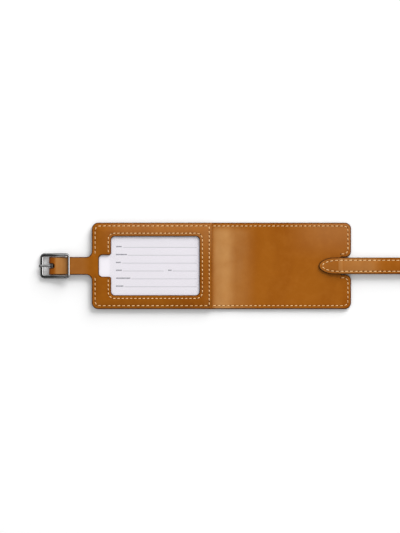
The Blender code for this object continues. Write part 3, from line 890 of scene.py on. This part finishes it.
def leather_material(name, main, light, deep, bands=(), corner=(0, 1, 0.0), soft_edge=0.0):
    """Smooth vegetable-tanned leather with dark painted edges.

    Each band is a stretch along X painted in its colour: a painted highlight where bent or
    sloping leather catches the light (next to the fold partly also the finish that pulls up where
    the hide bends), or painted shade where the tab's loop rolls away from the light. A band gives
    where it starts and is full, where it starts to fade and is gone, its strength and its colour.
    corner is where a painted lighter stretch towards +Y, the side that the light comes from,
    starts and is full along X, and its strength. soft_edge is how much of the edge paint is
    missing at the frame's edge next to the fold.
    """
    nodes = new_nodes(name)
    # The place at rest, so that the pattern stays with the leather as it bends
    place = nodes.node("Attribute", output="Vector", attribute_name="rest")
    x, y, _ = nodes.split(place)
    streaks = nodes.node("VectorMath", {0: place, 1: (1, 0.4, 1)}, operation="MULTIPLY")
    clouds = nodes.noise(streaks, 46, detail=4, distortion=0.3)
    blotches = nodes.noise(place, 170, roughness=0.6)
    pores = nodes.node("TexVoronoi", {"Vector": place, "Scale": 2400})
    grain = nodes.noise(place, 5200, detail=2, roughness=0.6)
    colour = nodes.mix(nodes.between(clouds, 0.33, 0.62), deep, main)
    colour = nodes.mix(nodes.between(blotches, 0.45, 0.75, 0, 0.3), colour, light)
    colour = nodes.mix(nodes.between(pores, 0.0, 0.16, 0.2, 0.0), colour, deep)
    # How strongly the bands are painted: patchy, fading at the +Y edge, and painted stronger towards
    # +Y, where the light comes from
    patchy = nodes.between(nodes.noise(place, 110, detail=2), 0.3, 0.7, 0.7, 1.0)
    off_edge = nodes.soft_step(y, HALF_WIDTH, HALF_WIDTH - 0.009)
    towards_light = nodes.between(y, -HALF_WIDTH, HALF_WIDTH, 0.82, 1.18)
    uneven = nodes.times(patchy, off_edge, towards_light)
    for start, full, fading, gone, strength, tone in bands:
        share = nodes.times(nodes.soft_step(x, start, full), nodes.soft_step(x, gone, fading))
        colour = nodes.mix(nodes.times(share, uneven, strength), colour, tone)
    # Painted light: the panels are painted lighter towards +Y, the side that faces the light
    start, full, strength = corner
    side = nodes.times(nodes.soft_step(y, 0.0, 0.03), nodes.soft_step(x, start, full))
    colour = nodes.mix(nodes.times(side, strength), colour, LIT_SIDE)
    ragged = nodes.maths("MULTIPLY_ADD", nodes.noise(place, 900, detail=2), 0.4, -0.2)
    near_edge = nodes.node("Attribute", output="Fac", attribute_name="edge")
    painted = nodes.between(nodes.maths("ADD", near_edge, ragged), 0.25, 0.85, 0.0, 0.95)
    at_fold = nodes.soft_step(x, FRAME_RIGHT - 0.002, FRAME_RIGHT - 0.001)
    painted = nodes.times(painted, nodes.between(at_fold, 0, 1, 1, 1 - soft_edge))
    height = nodes.maths("MULTIPLY_ADD", pores, 0.7, nodes.times(grain, 0.4))
    rough = nodes.between(clouds, 0.3, 0.7, 0.4, 0.5)
    nodes.set(
        Base_Color=nodes.mix(painted, colour, EDGE_PAINT),
        Roughness=nodes.maths("MULTIPLY_ADD", painted, -0.1, rough),
        Normal=nodes.bump(height, 0.00006, 0.6),
        Specular_IOR_Level=0.36,
        Specular_Tint=(1.0, 0.66, 0.3, 1),
        Coat_Weight=0.06,
        Coat_Roughness=0.3,
        Coat_Tint=(1.0, 0.85, 0.62, 1),
    )
    return nodes.owner


def thread_material():
    nodes = new_nodes("waxed_thread")
    place = nodes.object_place()
    fibres = nodes.noise(place, 9000, detail=2)
    shade = nodes.between(nodes.noise(place, 500, detail=2), 0.35, 0.65)
    colour = nodes.mix(shade, srgb(228, 180, 120), srgb(246, 212, 158))
    nodes.set(
        Base_Color=colour,
        Roughness=0.62,
        Normal=nodes.bump(fibres, 0.00003, 0.5),
        Sheen_Weight=0.15,
    )
    return nodes.owner


def hole_shade_material():
    # Painted shade: the holes are shallow dishes, and this dark colour stands in for the depth of real
    # needle holes
    nodes = new_nodes("needle_hole_shade")
    shade = nodes.noise(nodes.object_place(), 3000, detail=2)
    nodes.set(Base_Color=nodes.mix(shade, srgb(30, 14, 6), srgb(54, 26, 10)), Roughness=0.7)
    return nodes.owner


def card_material():
    nodes = new_nodes("card_stock")
    place = nodes.object_place()
    fibres = nodes.noise(place, 2500, detail=4)
    mottle = nodes.noise(place, 25, detail=1)
    tone = nodes.maths("MULTIPLY_ADD", fibres, 0.3, nodes.times(mottle, 0.7))
    colour = nodes.mix(nodes.between(tone, 0.3, 0.7), srgb(238, 234, 240), srgb(241, 237, 243))
    nodes.set(Base_Color=colour, Roughness=0.55, Normal=nodes.bump(fibres, 0.00001, 0.3))
    return nodes.owner


def ink_material():
    nodes = new_nodes("grey_ink")
    speckle = nodes.between(nodes.noise(nodes.object_place(), 6000, detail=2), 0.3, 0.7)
    nodes.set(Base_Color=nodes.mix(speckle, srgb(112, 112, 120), srgb(138, 138, 146)), Roughness=0.6)
    return nodes.owner


def film_material():
    """Clear film: it shows what is behind it and mirrors a little at its surface."""
    nodes = new_nodes("clear_film")
    ripple = nodes.noise(nodes.object_place(), 55, detail=1)
    normal = nodes.bump(ripple, 0.0004, 0.35)
    clear = nodes.node("BsdfTransparent", {"Color": (0.996, 0.997, 0.998, 1)})
    gloss = nodes.node("BsdfGlossy", {"Roughness": 0.08, "Normal": normal})
    rim = nodes.node("Fresnel", {"IOR": 1.45, "Normal": normal})
    inside = nodes.node("NewGeometry", output="Backfacing")
    share = nodes.times(rim, nodes.maths("SUBTRACT", 1.0, inside))
    mixed = nodes.node("MixShader", {0: share, 1: clear, 2: gloss})
    nodes.feed(nodes.tree.nodes["Material Output"].inputs["Surface"], mixed)
    nodes.tree.nodes.remove(nodes.shader)
    return nodes.owner


def steel_material(name, smooth, rough, pin_shade=0.0):
    """Nickel-plated steel, with fine scuffs. smooth and rough are its range of roughness.

    The last argument is how much painted shade darkens the metal next to the pin, where it lies
    in the leather's slot.
    """
    nodes = new_nodes(name)
    place = nodes.object_place()
    scuffs = nodes.noise(place, 700, detail=5, roughness=0.7, distortion=1.5)
    haze = nodes.noise(place, 120, detail=2)
    colour = nodes.mix(haze, srgb(206, 206, 208), srgb(226, 225, 224))
    x, _, _ = nodes.split(place)
    # at_pin masks the painted shade where the prong lies down in the leather's slot
    at_pin = nodes.soft_step(x, BAR.x - 0.0024, BAR.x - 0.0008)
    nodes.set(
        Base_Color=nodes.mix(nodes.times(at_pin, pin_shade), colour, srgb(52, 44, 38)),
        Metallic=1.0,
        Roughness=nodes.between(scuffs, 0.35, 0.7, smooth, rough),
        Normal=nodes.bump(scuffs, 0.00002, 0.12),
    )
    return nodes.owner


# ---- pieces


def flat(level):
    """The heights of a level face."""
    return lambda points: np.full(len(points), level)


def make_panel(name, material, nodes, heights, pitch, columns, edge):
    """One of the two large sheets, which lie on each other and run across the fold."""
    rows = groove_lines(EDGE_LINE, -EDGE_LINE, NOTCH_STITCH_HALF, -NOTCH_STITCH_HALF)
    xs = sorted(spread(LEFT, RIGHT, pitch, *FOLD_GRID) + groove_lines(*columns))
    ys = sorted(spread(-HALF_WIDTH, HALF_WIDTH, pitch) + rows)
    mesh = leather_sheet(name, panel_outline(), [], *heights, xs, ys, edge)
    new_piece(mesh, material, nodes, bend=FOLD)


def make_panels():
    nodes = ("outer_leather_window", "outer_leather_cover")
    heights = (flat(OUTER_TOP), outer_under)
    columns = (EDGE_X, -EDGE_X)
    make_panel("outer_leather", LEATHER_OUTER, nodes, heights, PANEL_GRID, columns, OUTER_EDGE_ROUND)
    nodes = ("lining_window", "lining_cover")
    heights = (lining_top, flat(LINING_LOW))
    columns = (-EDGE_X,)
    make_panel("lining_leather", LEATHER_COVER, nodes, heights, LEATHER_GRID, columns, EDGE_ROUND)


def tab_path():
    """The tab's middle surface from the side: from the panel, round the bar and back.

    Also the radius at which it passes round the bar.
    """
    half = FRAME_THICKNESS / 2
    radius = BAR_RADIUS + LOOP_CLEARANCE + half
    level = FRAME_TOP - half
    rise = BAR.z + radius - level
    under = level - FRAME_THICKNESS - PLY_GAP
    path = [(TAB_STUB, level)]
    path += [(BAR.x + reach, level + rise * share) for reach, share in TAB_RISE]
    for turn in range(90, 271, 10):
        angle = math.radians(turn)
        path.append((BAR.x + radius * math.cos(angle), BAR.z + radius * math.sin(angle)))
    path.append((BAR.x + LOOP_LEAVES_BAR, BAR.z - radius))
    path.append((BAR.x + LOOP_MEETS_TAB[0], under + rise * LOOP_MEETS_TAB[1]))
    path += [(TAB_STUB, under), (LEFT - TAB_TAIL, under)]
    path = np.array(path)
    lengths = arc_lengths(path)
    dense = at_length(path, lengths, np.linspace(0, lengths[-1], TAB_POINTS))
    window = np.hanning(TAB_SMOOTHING) / np.hanning(TAB_SMOOTHING).sum()
    padded = np.pad(dense, ((TAB_SMOOTHING // 2,) * 2, (0, 0)), mode="edge")
    smooth = np.stack([np.convolve(side, window, mode="valid") for side in padded.T], axis=1)
    smooth[[0, -1]] = dense[[0, -1]]
    return smooth, radius


def make_window_frame():
    """The window frame and the tab, cut as one flat sheet and then folded round the bar."""
    path, radius = tab_path()
    lengths = arc_lengths(path)
    end = TAB_STUB - lengths[-1]
    middle = FRAME_TOP - FRAME_THICKNESS / 2
    loop_middle = TAB_STUB - lengths[np.argmin(path[:, 0])]
    half_slot = math.pi * radius / 2 + SLOT_REACH
    slot_ends = (loop_middle - half_slot, loop_middle + half_slot)
    slot = mirrored([(x, -SLOT_HALF, SLOT_CORNER) for x in slot_ends])

    def folded(verts):
        """Wraps the flat tab along its path."""
        out = verts.copy()
        on_tab = verts[:, 0] < TAB_STUB
        s = TAB_STUB - verts[on_tab, 0]  # how far along the path each point lies
        nearby = 0.00004
        spots = at_length(path, lengths, s)
        ahead = at_length(path, lengths, s + nearby) - at_length(path, lengths, s - nearby)
        ahead /= np.linalg.norm(ahead, axis=1)[:, None]
        lift = verts[on_tab, 2] - middle
        out[on_tab, 0] = spots[:, 0] + ahead[:, 1] * lift
        out[on_tab, 2] = spots[:, 1] - ahead[:, 0] * lift
        return out

    xs = spread(end, FRAME_RIGHT, TAB_GRID, (*slot_ends, SLOT_GRID))
    xs = sorted(xs + groove_lines(EDGE_X, SEAM_X, *WINDOW_LINE))
    rows = (EDGE_LINE, WINDOW_LINE_HALF, -EDGE_LINE, -WINDOW_LINE_HALF)
    ys = sorted(spread(-HALF_WIDTH, HALF_WIDTH, LEATHER_GRID) + groove_lines(*rows))
    mesh = leather_sheet(
        "window_frame_leather",
        frame_outline(end),
        [window_outline(), slot],
        frame_top,
        frame_underside,
        xs,
        ys,
        FRAME_EDGE_ROUND,
        folded,
    )
    new_piece(mesh, LEATHER_FRAME, ["window_frame"], "window_panel")


def flat_sheet(name, box, outline, pitch, edge):
    """A flat sheet between its CAD box's two faces."""
    low, high = box
    xs = spread(low[0], high[0], pitch)
    ys = spread(low[1], high[1], pitch)
    return leather_sheet(name, outline, [], flat(high[2]), flat(low[2]), xs, ys, edge)


def make_card():
    low, high = CARD_BOX
    outline = mirrored([(low[0], low[1], CARD_CORNER), (high[0], low[1], CARD_CORNER)])
    card = flat_sheet("card_stock", CARD_BOX, outline, CARD_GRID, CARD_EDGE_ROUND)
    new_piece(card, CARD_STOCK, ["id_card"], "card")
    new_piece(card_print(low, high), GREY_INK, body="card")


def card_print(low, high):
    """Six writing lines, each after a row of plain blocks where a label would be."""
    marks = []

    def label(x, y, widths):
        for width in widths:
            marks.append((x, x + width, y + BLOCK_RISE[0], y + BLOCK_RISE[1]))
            x += width + BLOCK_GAP
        return x + LABEL_GAP

    def line(x, y, end):
        marks.append((x, end, y - LINE_HALF, y + LINE_HALF))

    for row, count in enumerate(PRINT_ROWS):
        y = high[1] - PRINT_TOP - row * PRINT_PITCH
        shares = [0.75 + 0.5 * ((index * 7 + row * 3) % 4) / 3 for index in range(count)]
        x = label(low[0] + PRINT_LEFT, y, [BLOCK * share for share in shares])
        if row == SPLIT_ROW:
            line(x, y, x + SPLIT_LENGTH)
            x = label(x + SPLIT_LENGTH + SPLIT_GAP, y, [BLOCK] * SPLIT_BLOCKS)
        line(x, y, high[0] - PRINT_RIGHT)
    levels = [high[2] + height for height in INK_HEIGHTS]
    tubes = [
        [[(x0, y0, z), (x1, y0, z), (x1, y1, z), (x0, y1, z)] for z in levels]
        for x0, x1, y0, y1 in marks
    ]
    return tube_mesh("card_print", tubes, smooth=False)


def make_film():
    low, high = FILM_BOX
    outline = mirrored(
        [
            (high[0], high[1], FILM_CORNER),
            (low[0], high[1], FILM_CORNER),
            (low[0], FILM_NOTCH_HALF, FILM_NOTCH_CORNER),
            (FILM_NOTCH, FILM_NOTCH_HALF, FILM_NOTCH_CORNER),
        ]
    )
    film = flat_sheet("clear_film", FILM_BOX, outline, FILM_GRID, FILM_EDGE_ROUND)
    new_piece(film, CLEAR_FILM, ["window_film"], "window_panel")


def make_panel_stitches():
    edge = [s for path in frame_edge_paths() for s in stitches_on(path, *FRAME_STITCH)]
    rows = (
        ("window_edge_stitches", edge, outer_under, ["edge_stitching_window"]),
        ("pocket_mouth_stitches", stitches_on(seam_path(), *SEAM_STITCH), None, []),
        ("window_stitches", stitches_on(window_path(), *SEAM_STITCH), None, ["window_stitching"]),
    )
    for name, stitches, under, nodes in rows:
        sewn_pieces(name, stitches, frame_top, under, nodes, "window_panel")
    cover = [s for path in cover_edge_paths() for s in stitches_on(path, *COVER_STITCH)]
    far = [s for s in cover if middle_x(s) >= FOLD_STITCH_END]
    nodes = ["edge_stitching_cover_upper", "edge_stitching_cover_lower"]
    sewn_pieces("cover_edge_stitches", far, lining_top, outer_under, nodes, "cover_panel")
    near = [s for s in cover if middle_x(s) < FOLD_STITCH_END]
    sewn_pieces("fold_stitches", near, lining_top, outer_under, bend=FOLD)


def strap_cuts():
    """Where the strap's pieces meet, and the stretch over which each one bends."""
    half = (CURLS[1] - CURLS[0]) / 2
    middles = [(STRAP_ROOT + CURLS[0]) / 2] + [curl + half for curl in CURLS[:-1]]
    ends = [STRAP_START - CUT_MARGIN] + middles + [STRAP_TIP + CUT_MARGIN]
    bends = [(NOTCH_BOTTOM, NOTCH_BOTTOM + ROOT_BEND)]
    bends += [(curl - half, curl + half) for curl in CURLS]
    return ends, bends


def strap_plies():
    """The strap's two layers, each as one mesh from end to end."""
    half = STRAP_TOP_BOX[1][1]
    outline = pointed_loop(STRAP_START, STRAP_TIP, half)[1:]
    holes = [hole_loop(STRAP_TIP - LAST_HOLE - HOLE_PITCH * k) for k in range(HOLE_COUNT)]
    root = (NOTCH_BOTTOM, NOTCH_BOTTOM + ROOT_BEND, ROOT_GRID)
    curl_low, curl_high = CURLS[0] - CURL_MARGIN, CURLS[-1] + CURL_MARGIN
    xs = spread(STRAP_START, STRAP_TIP, STRAP_GRID, root)
    xs = [x for x in xs if not curl_low - 0.0005 < x < curl_high + 0.0005]
    xs = sorted(xs + list(np.arange(curl_low, curl_high + 0.0001, CURL_GRID)))
    ys = spread(-half, half, STRAP_GRID_ACROSS)
    ys += groove_lines(STRAP_STITCH_HALF, -STRAP_STITCH_HALF)
    ys = sorted(y for y in ys if abs(y) < half)

    def inner(box, side):
        return lambda points: pared(points, box[side][2])

    below, above = inner(STRAP_TOP_BOX, 0), inner(STRAP_UNDER_BOX, 1)
    top = leather_sheet("strap_top", outline, holes, strap_top, below, xs, ys)
    under = leather_sheet(
        "strap_under", outline, holes, above, strap_under, xs, ys, STRAP_EDGE_ROUND
    )
    return top, under


def make_strap():
    top, under = strap_plies()
    plies = ((top, "top", "strap_leather"), (under, "lining", "strap_under_leather"))
    ends, bends = strap_cuts()
    stitches = stitches_on(strap_stitch_path(), *STRAP_STITCH)
    anchored = [s for s in stitches if middle_x(s) < NOTCH_BOTTOM]
    thread, _ = sew("anchor_stitches_under", anchored, None, outer_under)
    new_piece(thread, THREAD, body="cover_panel")
    bodies = ["cover_panel"] + [f"strap_{k}" for k in range(1, 8)]
    level = STRAP_TOP_BOX[0][2]
    for index, (start, end) in enumerate(bends):
        number = index + 1
        low, high = ends[index], ends[number]
        bend = (bodies[index], bodies[number], (start, 0, level), (end, 0, level))
        for mesh, ply, slot in plies:
            nodes = [f"strap_{ply}_{number}"]
            if index == 0:
                nodes.append(f"strap_anchor_{ply}")
            piece = cut_piece(mesh, f"strap_{ply}_leather_{number}", low, high)
            new_piece(piece, LEATHER_STRAP, nodes, bend=bend)
        nodes = [f"strap_stitch_{side}_{number}" for side in ("left", "right")]
        if index == 0:
            nodes.append("strap_anchor_stitching")
        if index == len(bends) - 1:
            nodes = ["strap_tip_stitching"]
        mine = [s for s in stitches if low <= middle_x(s) < high]
        sewn_pieces(f"strap_stitches_{number}", mine, strap_top, strap_under, nodes, bend=bend)


def hole_loop(x):
    """One of the round holes for the prong."""
    angles = circle_angles(HOLE_CORNERS)
    return np.stack([x + HOLE_RADIUS * np.cos(angles), HOLE_RADIUS * np.sin(angles)], axis=1)


def cut_piece(mesh, name, low, high):
    """The part of a mesh between two places along X, closed where it is cut."""
    work = bmesh.new()
    work.from_mesh(mesh)
    for place, side in ((low, -1), (high, 1)):
        geometry = work.verts[:] + work.edges[:] + work.faces[:]
        plane = {"plane_co": (place, 0, 0), "plane_no": (side, 0, 0)}
        cut = bmesh.ops.bisect_plane(work, geom=geometry, dist=TINY, clear_outer=True, **plane)
        rim = [g for g in cut["geom_cut"] if isinstance(g, bmesh.types.BMEdge)]
        caps = bmesh.ops.holes_fill(work, edges=rim, sides=0)["faces"] if rim else []
        for part in (*caps, *rim):
            part.smooth = False
    piece = bpy.data.meshes.new(name)
    work.to_mesh(piece)
    work.free()
    return piece


# ---- buckle


def section_loop(centre, across, up, half_width, half_height, squareness, steps=20):
    """A rounded-rectangle section, as a superellipse."""
    loop = []
    for k in range(steps):
        angle = 2 * math.pi * k / steps
        c, s = math.cos(angle), math.sin(angle)
        x = math.copysign(abs(c) ** (2 / squareness), c) * half_width
        y = math.copysign(abs(s) ** (2 / squareness), s) * half_height
        loop.append(centre + across * x + up * y)
    return loop


def make_buckle():
    """The ring, swept along its plan. The bar that the tab is looped round stays as the CAD has it."""
    left, right = BUCKLE_BOX[0][0] + RING_THICK, BUCKLE_BOX[1][0] - RING_THIN
    side, end_side = BUCKLE_BOX[1][1] - RING_THICK, BUCKLE_BOX[1][1] - RING_THIN
    taper_start = right - RING_TAPER
    corners = [(left, -side, RING_CORNER), (taper_start, -side, 0), (right, -end_side, RING_CORNER)]
    plan = mirrored(corners)
    plan = np.vstack([plan, plan[:1]])
    lengths = arc_lengths(plan)
    plan = at_length(plan, lengths, np.linspace(0, lengths[-1], RING_STEPS, endpoint=False))
    # From the side the ring is arched, as the CAD has it: a parabola through its three bars
    bars = ((left, BAR.x, right), (RING_LOW, BAR.z, BUCKLE_BOX[1][2] - RING_THIN))
    heights = np.polyval(np.polyfit(*bars, 2), plan[:, 0])
    points = [Vector((x, y, z)) for (x, y), z in zip(plan, heights)]
    sections = []
    for index, point in enumerate(points):
        ahead = (points[(index + 1) % len(points)] - points[index - 1]).normalized()
        across = Vector((ahead.y, -ahead.x, 0)).normalized()
        up = across.cross(ahead)
        share = (point.x - left) / (right - left)
        thinning = max(0.0, (point.x - taper_start) / RING_TAPER)
        half_width = RING_THICK + (RING_THIN - RING_THICK) * thinning
        half_height = RING_HALF_HEIGHTS[0] + (RING_HALF_HEIGHTS[1] - RING_HALF_HEIGHTS[0]) * share
        on_side = abs(ahead.x)
        tilt = Matrix.Rotation(math.radians(RING_TILT * on_side * share), 3, ahead)
        squareness = END_SQUARENESS + (SIDE_SQUARENESS - END_SQUARENESS) * on_side
        size = (half_width, half_height, squareness, RING_SECTION_STEPS)
        sections.append(section_loop(point, tilt @ across, tilt @ up, *size))
    ring = tube_mesh("buckle_ring", [sections], closed=True)
    ring = new_piece(ring, STEEL, ["buckle_frame"], "buckle")
    BUCKLE_PIECES.objects.link(ring)
    for slot in frame["nodes"]["buckle_bar"].material_slots:
        slot.material = STEEL


def make_prong():
    """An eye rolled round the bar, and a shank that rests on the far bar."""
    across = Vector((0, 1, 0))
    places = np.linspace(0, len(PRONG_LINE) - 1, SHANK_STEPS)
    columns = [catmull(column, places) for column in np.array(PRONG_LINE).T]
    x, z, half_widths, half_heights = columns
    points = [BAR + Vector((here, 0, height)) for here, height in zip(x, z)]
    shank = []
    for index, point in enumerate(points):
        before = points[max(index - 1, 0)]
        after = points[min(index + 1, len(points) - 1)]
        up = across.cross((after - before).normalized())
        size = (half_widths[index], half_heights[index], END_SQUARENESS)
        shank.append(section_loop(point, across, up, *size))
    bore = BAR_RADIUS + LOOP_CLEARANCE
    thick = (EYE_RADIUS - bore) / 2
    eye = []
    for angle in circle_angles(EYE_STEPS):
        out = Vector((math.cos(angle), 0, math.sin(angle)))
        centre = BAR + out * (bore + thick)
        eye.append(section_loop(centre, across, out, EYE_HALF, thick, EYE_SQUARENESS))
    prong = new_piece(tube_mesh("prong", [eye], closed=True), SATIN_STEEL)
    apply_boolean(prong, tube_mesh("prong_shank", [shank]), "UNION")
    apply_boolean(prong, bore_mesh(bore), "DIFFERENCE")
    prong.data.shade_smooth()
    prong.data.set_sharp_from_angle(angle=math.radians(SHARP_ANGLE))
    BUCKLE_PIECES.objects.link(prong)
    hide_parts("buckle_prong")
    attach(prong, "prong")


def catmull(values, places):
    """A smooth curve through evenly spaced values."""
    padded = np.concatenate([[2 * values[0] - values[1]], values, [2 * values[-1] - values[-2]]])
    index = np.clip(places.astype(int), 0, len(values) - 2)
    share = places - index
    a, b, c, d = (padded[index + k] for k in range(4))
    bend = 2 * a - 5 * b + 4 * c - d + share * (3 * b - a - 3 * c + d)
    return b + share / 2 * (c - a + share * bend)


def bore_mesh(radius):
    """A cylinder round the bar's axis."""
    mesh = bpy.data.meshes.new("bore")
    work = bmesh.new()
    lying = Matrix.Translation(BAR) @ Matrix.Rotation(math.radians(90), 4, "X")
    size = {"radius1": radius, "radius2": radius, "depth": 2 * BORE_HALF}
    bmesh.ops.create_cone(work, cap_ends=True, segments=EYE_STEPS, matrix=lying, **size)
    work.to_mesh(mesh)
    work.free()
    return mesh


def apply_boolean(piece, tool_mesh, operation):
    """Joins a mesh to a piece or cuts it away."""
    tool = bpy.data.objects.new(tool_mesh.name, tool_mesh)
    bpy.context.scene.collection.objects.link(tool)
    modifier = piece.modifiers.new(operation, "BOOLEAN")
    modifier.operation = operation
    modifier.solver = "EXACT"
    modifier.object = tool
    bpy.context.view_layer.update()
    graph = bpy.context.evaluated_depsgraph_get()
    mesh = bpy.data.meshes.new_from_object(piece.evaluated_get(graph), depsgraph=graph)
    piece.modifiers.clear()
    old = piece.data
    piece.data = mesh
    mesh.name = piece.name
    bpy.data.meshes.remove(old)
    bpy.data.objects.remove(tool)


# ---- studio


def area_light(name, place, size, power):
    """A square soft box that faces the tag."""
    data = bpy.data.lights.new(name, "AREA")
    data.shape = "SQUARE"
    data.size = size
    data.energy = power
    lamp = bpy.data.objects.new(name, data)
    lamp.location = place
    lamp.rotation_euler = (-Vector(place)).to_track_quat("-Z", "Y").to_euler()
    bpy.context.scene.collection.objects.link(lamp)
    return lamp


def make_floor():
    """A plain white floor, which the tag's metal mirrors as a dark one."""
    mesh = bpy.data.meshes.new("floor")
    corners = [(-1, -1), (1, -1), (1, 1), (-1, 1)]
    mesh.from_pydata([(x * FLOOR_REACH, y * FLOOR_REACH, 0) for x, y in corners], [], [(0, 1, 2, 3)])
    floor = bpy.data.objects.new("floor", mesh)
    floor.location.z = -FLOOR_DROP
    nodes = new_nodes("white_floor")
    in_mirror = nodes.node("LightPath", output="Is Glossy Ray")
    colour = nodes.mix(in_mirror, (0.95, 0.95, 0.95, 1), (0.1, 0.1, 0.1, 1))
    nodes.set(Base_Color=colour, Roughness=1.0, Specular_IOR_Level=0.0)
    mesh.materials.append(nodes.owner)
    bpy.context.scene.collection.objects.link(floor)


def make_sky():
    """Even light for the surfaces, and a darker studio with a bright dome for what they mirror."""
    world = bpy.data.worlds.new("studio")
    nodes = Nodes(world)
    background = nodes.tree.nodes["Background"].inputs
    way = nodes.node("TexCoord", output="Generated")
    _, _, z = nodes.split(way)
    dome = nodes.times(nodes.soft_step(z, *SKY_TOP), nodes.soft_step(z, *SKY_FOOT))
    tilt = nodes.node("VectorMath", {0: way, 1: SKY_TILT}, output="Value", operation="DOT_PRODUCT")
    lit = nodes.maths("MULTIPLY_ADD", tilt, 0.8, 0.42, clamp=True)
    mirrored_sky = nodes.maths("MULTIPLY_ADD", nodes.times(dome, lit), SKY_MIRRORED, 0.02)
    in_mirror = nodes.node("LightPath", output="Is Glossy Ray")
    level = nodes.node("Mix", {0: in_mirror, 2: SKY_LEVEL, 3: mirrored_sky})
    nodes.feed(background["Strength"], level)
    background["Color"].default_value = (1, 1, 1, 1)
    bpy.context.scene.world = world


def make_camera():
    data = bpy.data.cameras.new("camera")
    data.lens = CAMERA_LENS
    data.clip_end = CAMERA_REACH
    camera = bpy.data.objects.new("camera", data)
    camera.location = (*CAMERA_PLACE, VIEW_HEIGHT * data.lens / data.sensor_width)
    bpy.context.scene.collection.objects.link(camera)
    bpy.context.scene.camera = camera


def make_studio():
    make_floor()
    make_sky()
    key = area_light(*KEY_LIGHT)
    key.visible_glossy = False  # the sky that mirrors show stands in for it
    for shine in BUCKLE_SHINES:
        lamp = area_light(*shine)
        lamp.visible_diffuse = False
        lamp.light_linking.receiver_collection = BUCKLE_PIECES
    make_camera()
    bpy.context.scene.view_settings.view_transform = "Standard"


# painted highlight where bent or sloping leather catches the light; by the fold partly also the finish
# pulling up where the hide bends
PALE_HIGHLIGHT = srgb(206, 158, 100)
# painted light on the side of the panels that faces the light
LIT_SIDE = srgb(196, 146, 100)
# painted shade where the tab's loop rolls down round the bar, away from the light
ROLL_SHADE = srgb(122, 52, 4)
EDGE_PAINT = srgb(66, 34, 12)
# painted highlights next to the fold: partly light caught where the hide bends, partly its finish
# pulling up there
FOLD_BANDS = (
    (-0.0085, -0.0025, 0.004, 0.0125, 0.42, PALE_HIGHLIGHT),
    (-0.009, -0.005, 0.0125, 0.03, 0.25, PALE_HIGHLIGHT),
)
# painted highlights on the strap: over its pared end, on the crease at the notch, and where it leaves
# the cover and would slope towards the light
STRAP_BANDS = (
    (0.07, 0.077, 0.091, 0.094, 0.08, PALE_HIGHLIGHT),
    (0.0925, 0.094, 0.0955, 0.0975, 0.35, PALE_HIGHLIGHT),
    (0.0945, 0.0985, 0.117, 0.131, 0.27, PALE_HIGHLIGHT),
)
# on the tab: painted shade on the loop's roll, painted highlights on the loop and where the right
# bar's shadow falls, and a faint painted highlight on the frame beside the fold
TAB_BANDS = (
    (-0.1435, -0.141, -0.1354, -0.1324, 0.62, ROLL_SHADE),
    (-0.1338, -0.1312, -0.1303, -0.126, 0.42, PALE_HIGHLIGHT),
    (-0.13, -0.1272, -0.1245, -0.1212, 0.36, PALE_HIGHLIGHT),
    (-0.126, -0.122, -0.112, -0.104, 0.14, PALE_HIGHLIGHT),
    (-0.0165, -0.0125, -0.0085, -0.007, 0.05, PALE_HIGHLIGHT),
)
COVER_TONES = (srgb(156, 88, 14), srgb(170, 103, 32), srgb(147, 79, 8))
FRAME_TONES = (srgb(150, 84, 8), srgb(166, 100, 26), srgb(140, 74, 3))
STRAP_TONES = (srgb(158, 90, 18), srgb(172, 104, 34), srgb(148, 80, 10))
OUTER_TONES = (srgb(152, 85, 12), srgb(168, 100, 28), srgb(142, 76, 6))
# where the frame and the cover are painted lighter towards +Y, the side that faces the light
FRAME_LIT_CORNER = (LEFT, LEFT + 0.03, 0.18)
COVER_LIT_CORNER = (0.045, 0.085, 0.2)
LEATHER_COVER = leather_material("lining_leather", *COVER_TONES, FOLD_BANDS, COVER_LIT_CORNER)
LEATHER_FRAME = leather_material("frame_leather", *FRAME_TONES, TAB_BANDS, FRAME_LIT_CORNER, 0.6)
LEATHER_STRAP = leather_material("strap_leather", *STRAP_TONES, STRAP_BANDS)
LEATHER_OUTER = leather_material("outer_leather", *OUTER_TONES)
THREAD = thread_material()
HOLE_SHADE = hole_shade_material()
CARD_STOCK = card_material()
GREY_INK = ink_material()
CLEAR_FILM = film_material()
STEEL = steel_material("polished_steel", 0.05, 0.14)
# the prong is painted darker next to the pin, as shade in the slot
SATIN_STEEL = steel_material("satin_steel", 0.26, 0.36, pin_shade=0.9)
BUCKLE_PIECES = bpy.data.collections.new("buckle_pieces")

make_panels()
make_window_frame()
make_card()
make_film()
make_panel_stitches()
make_strap()
make_buckle()
make_prong()
make_studio()
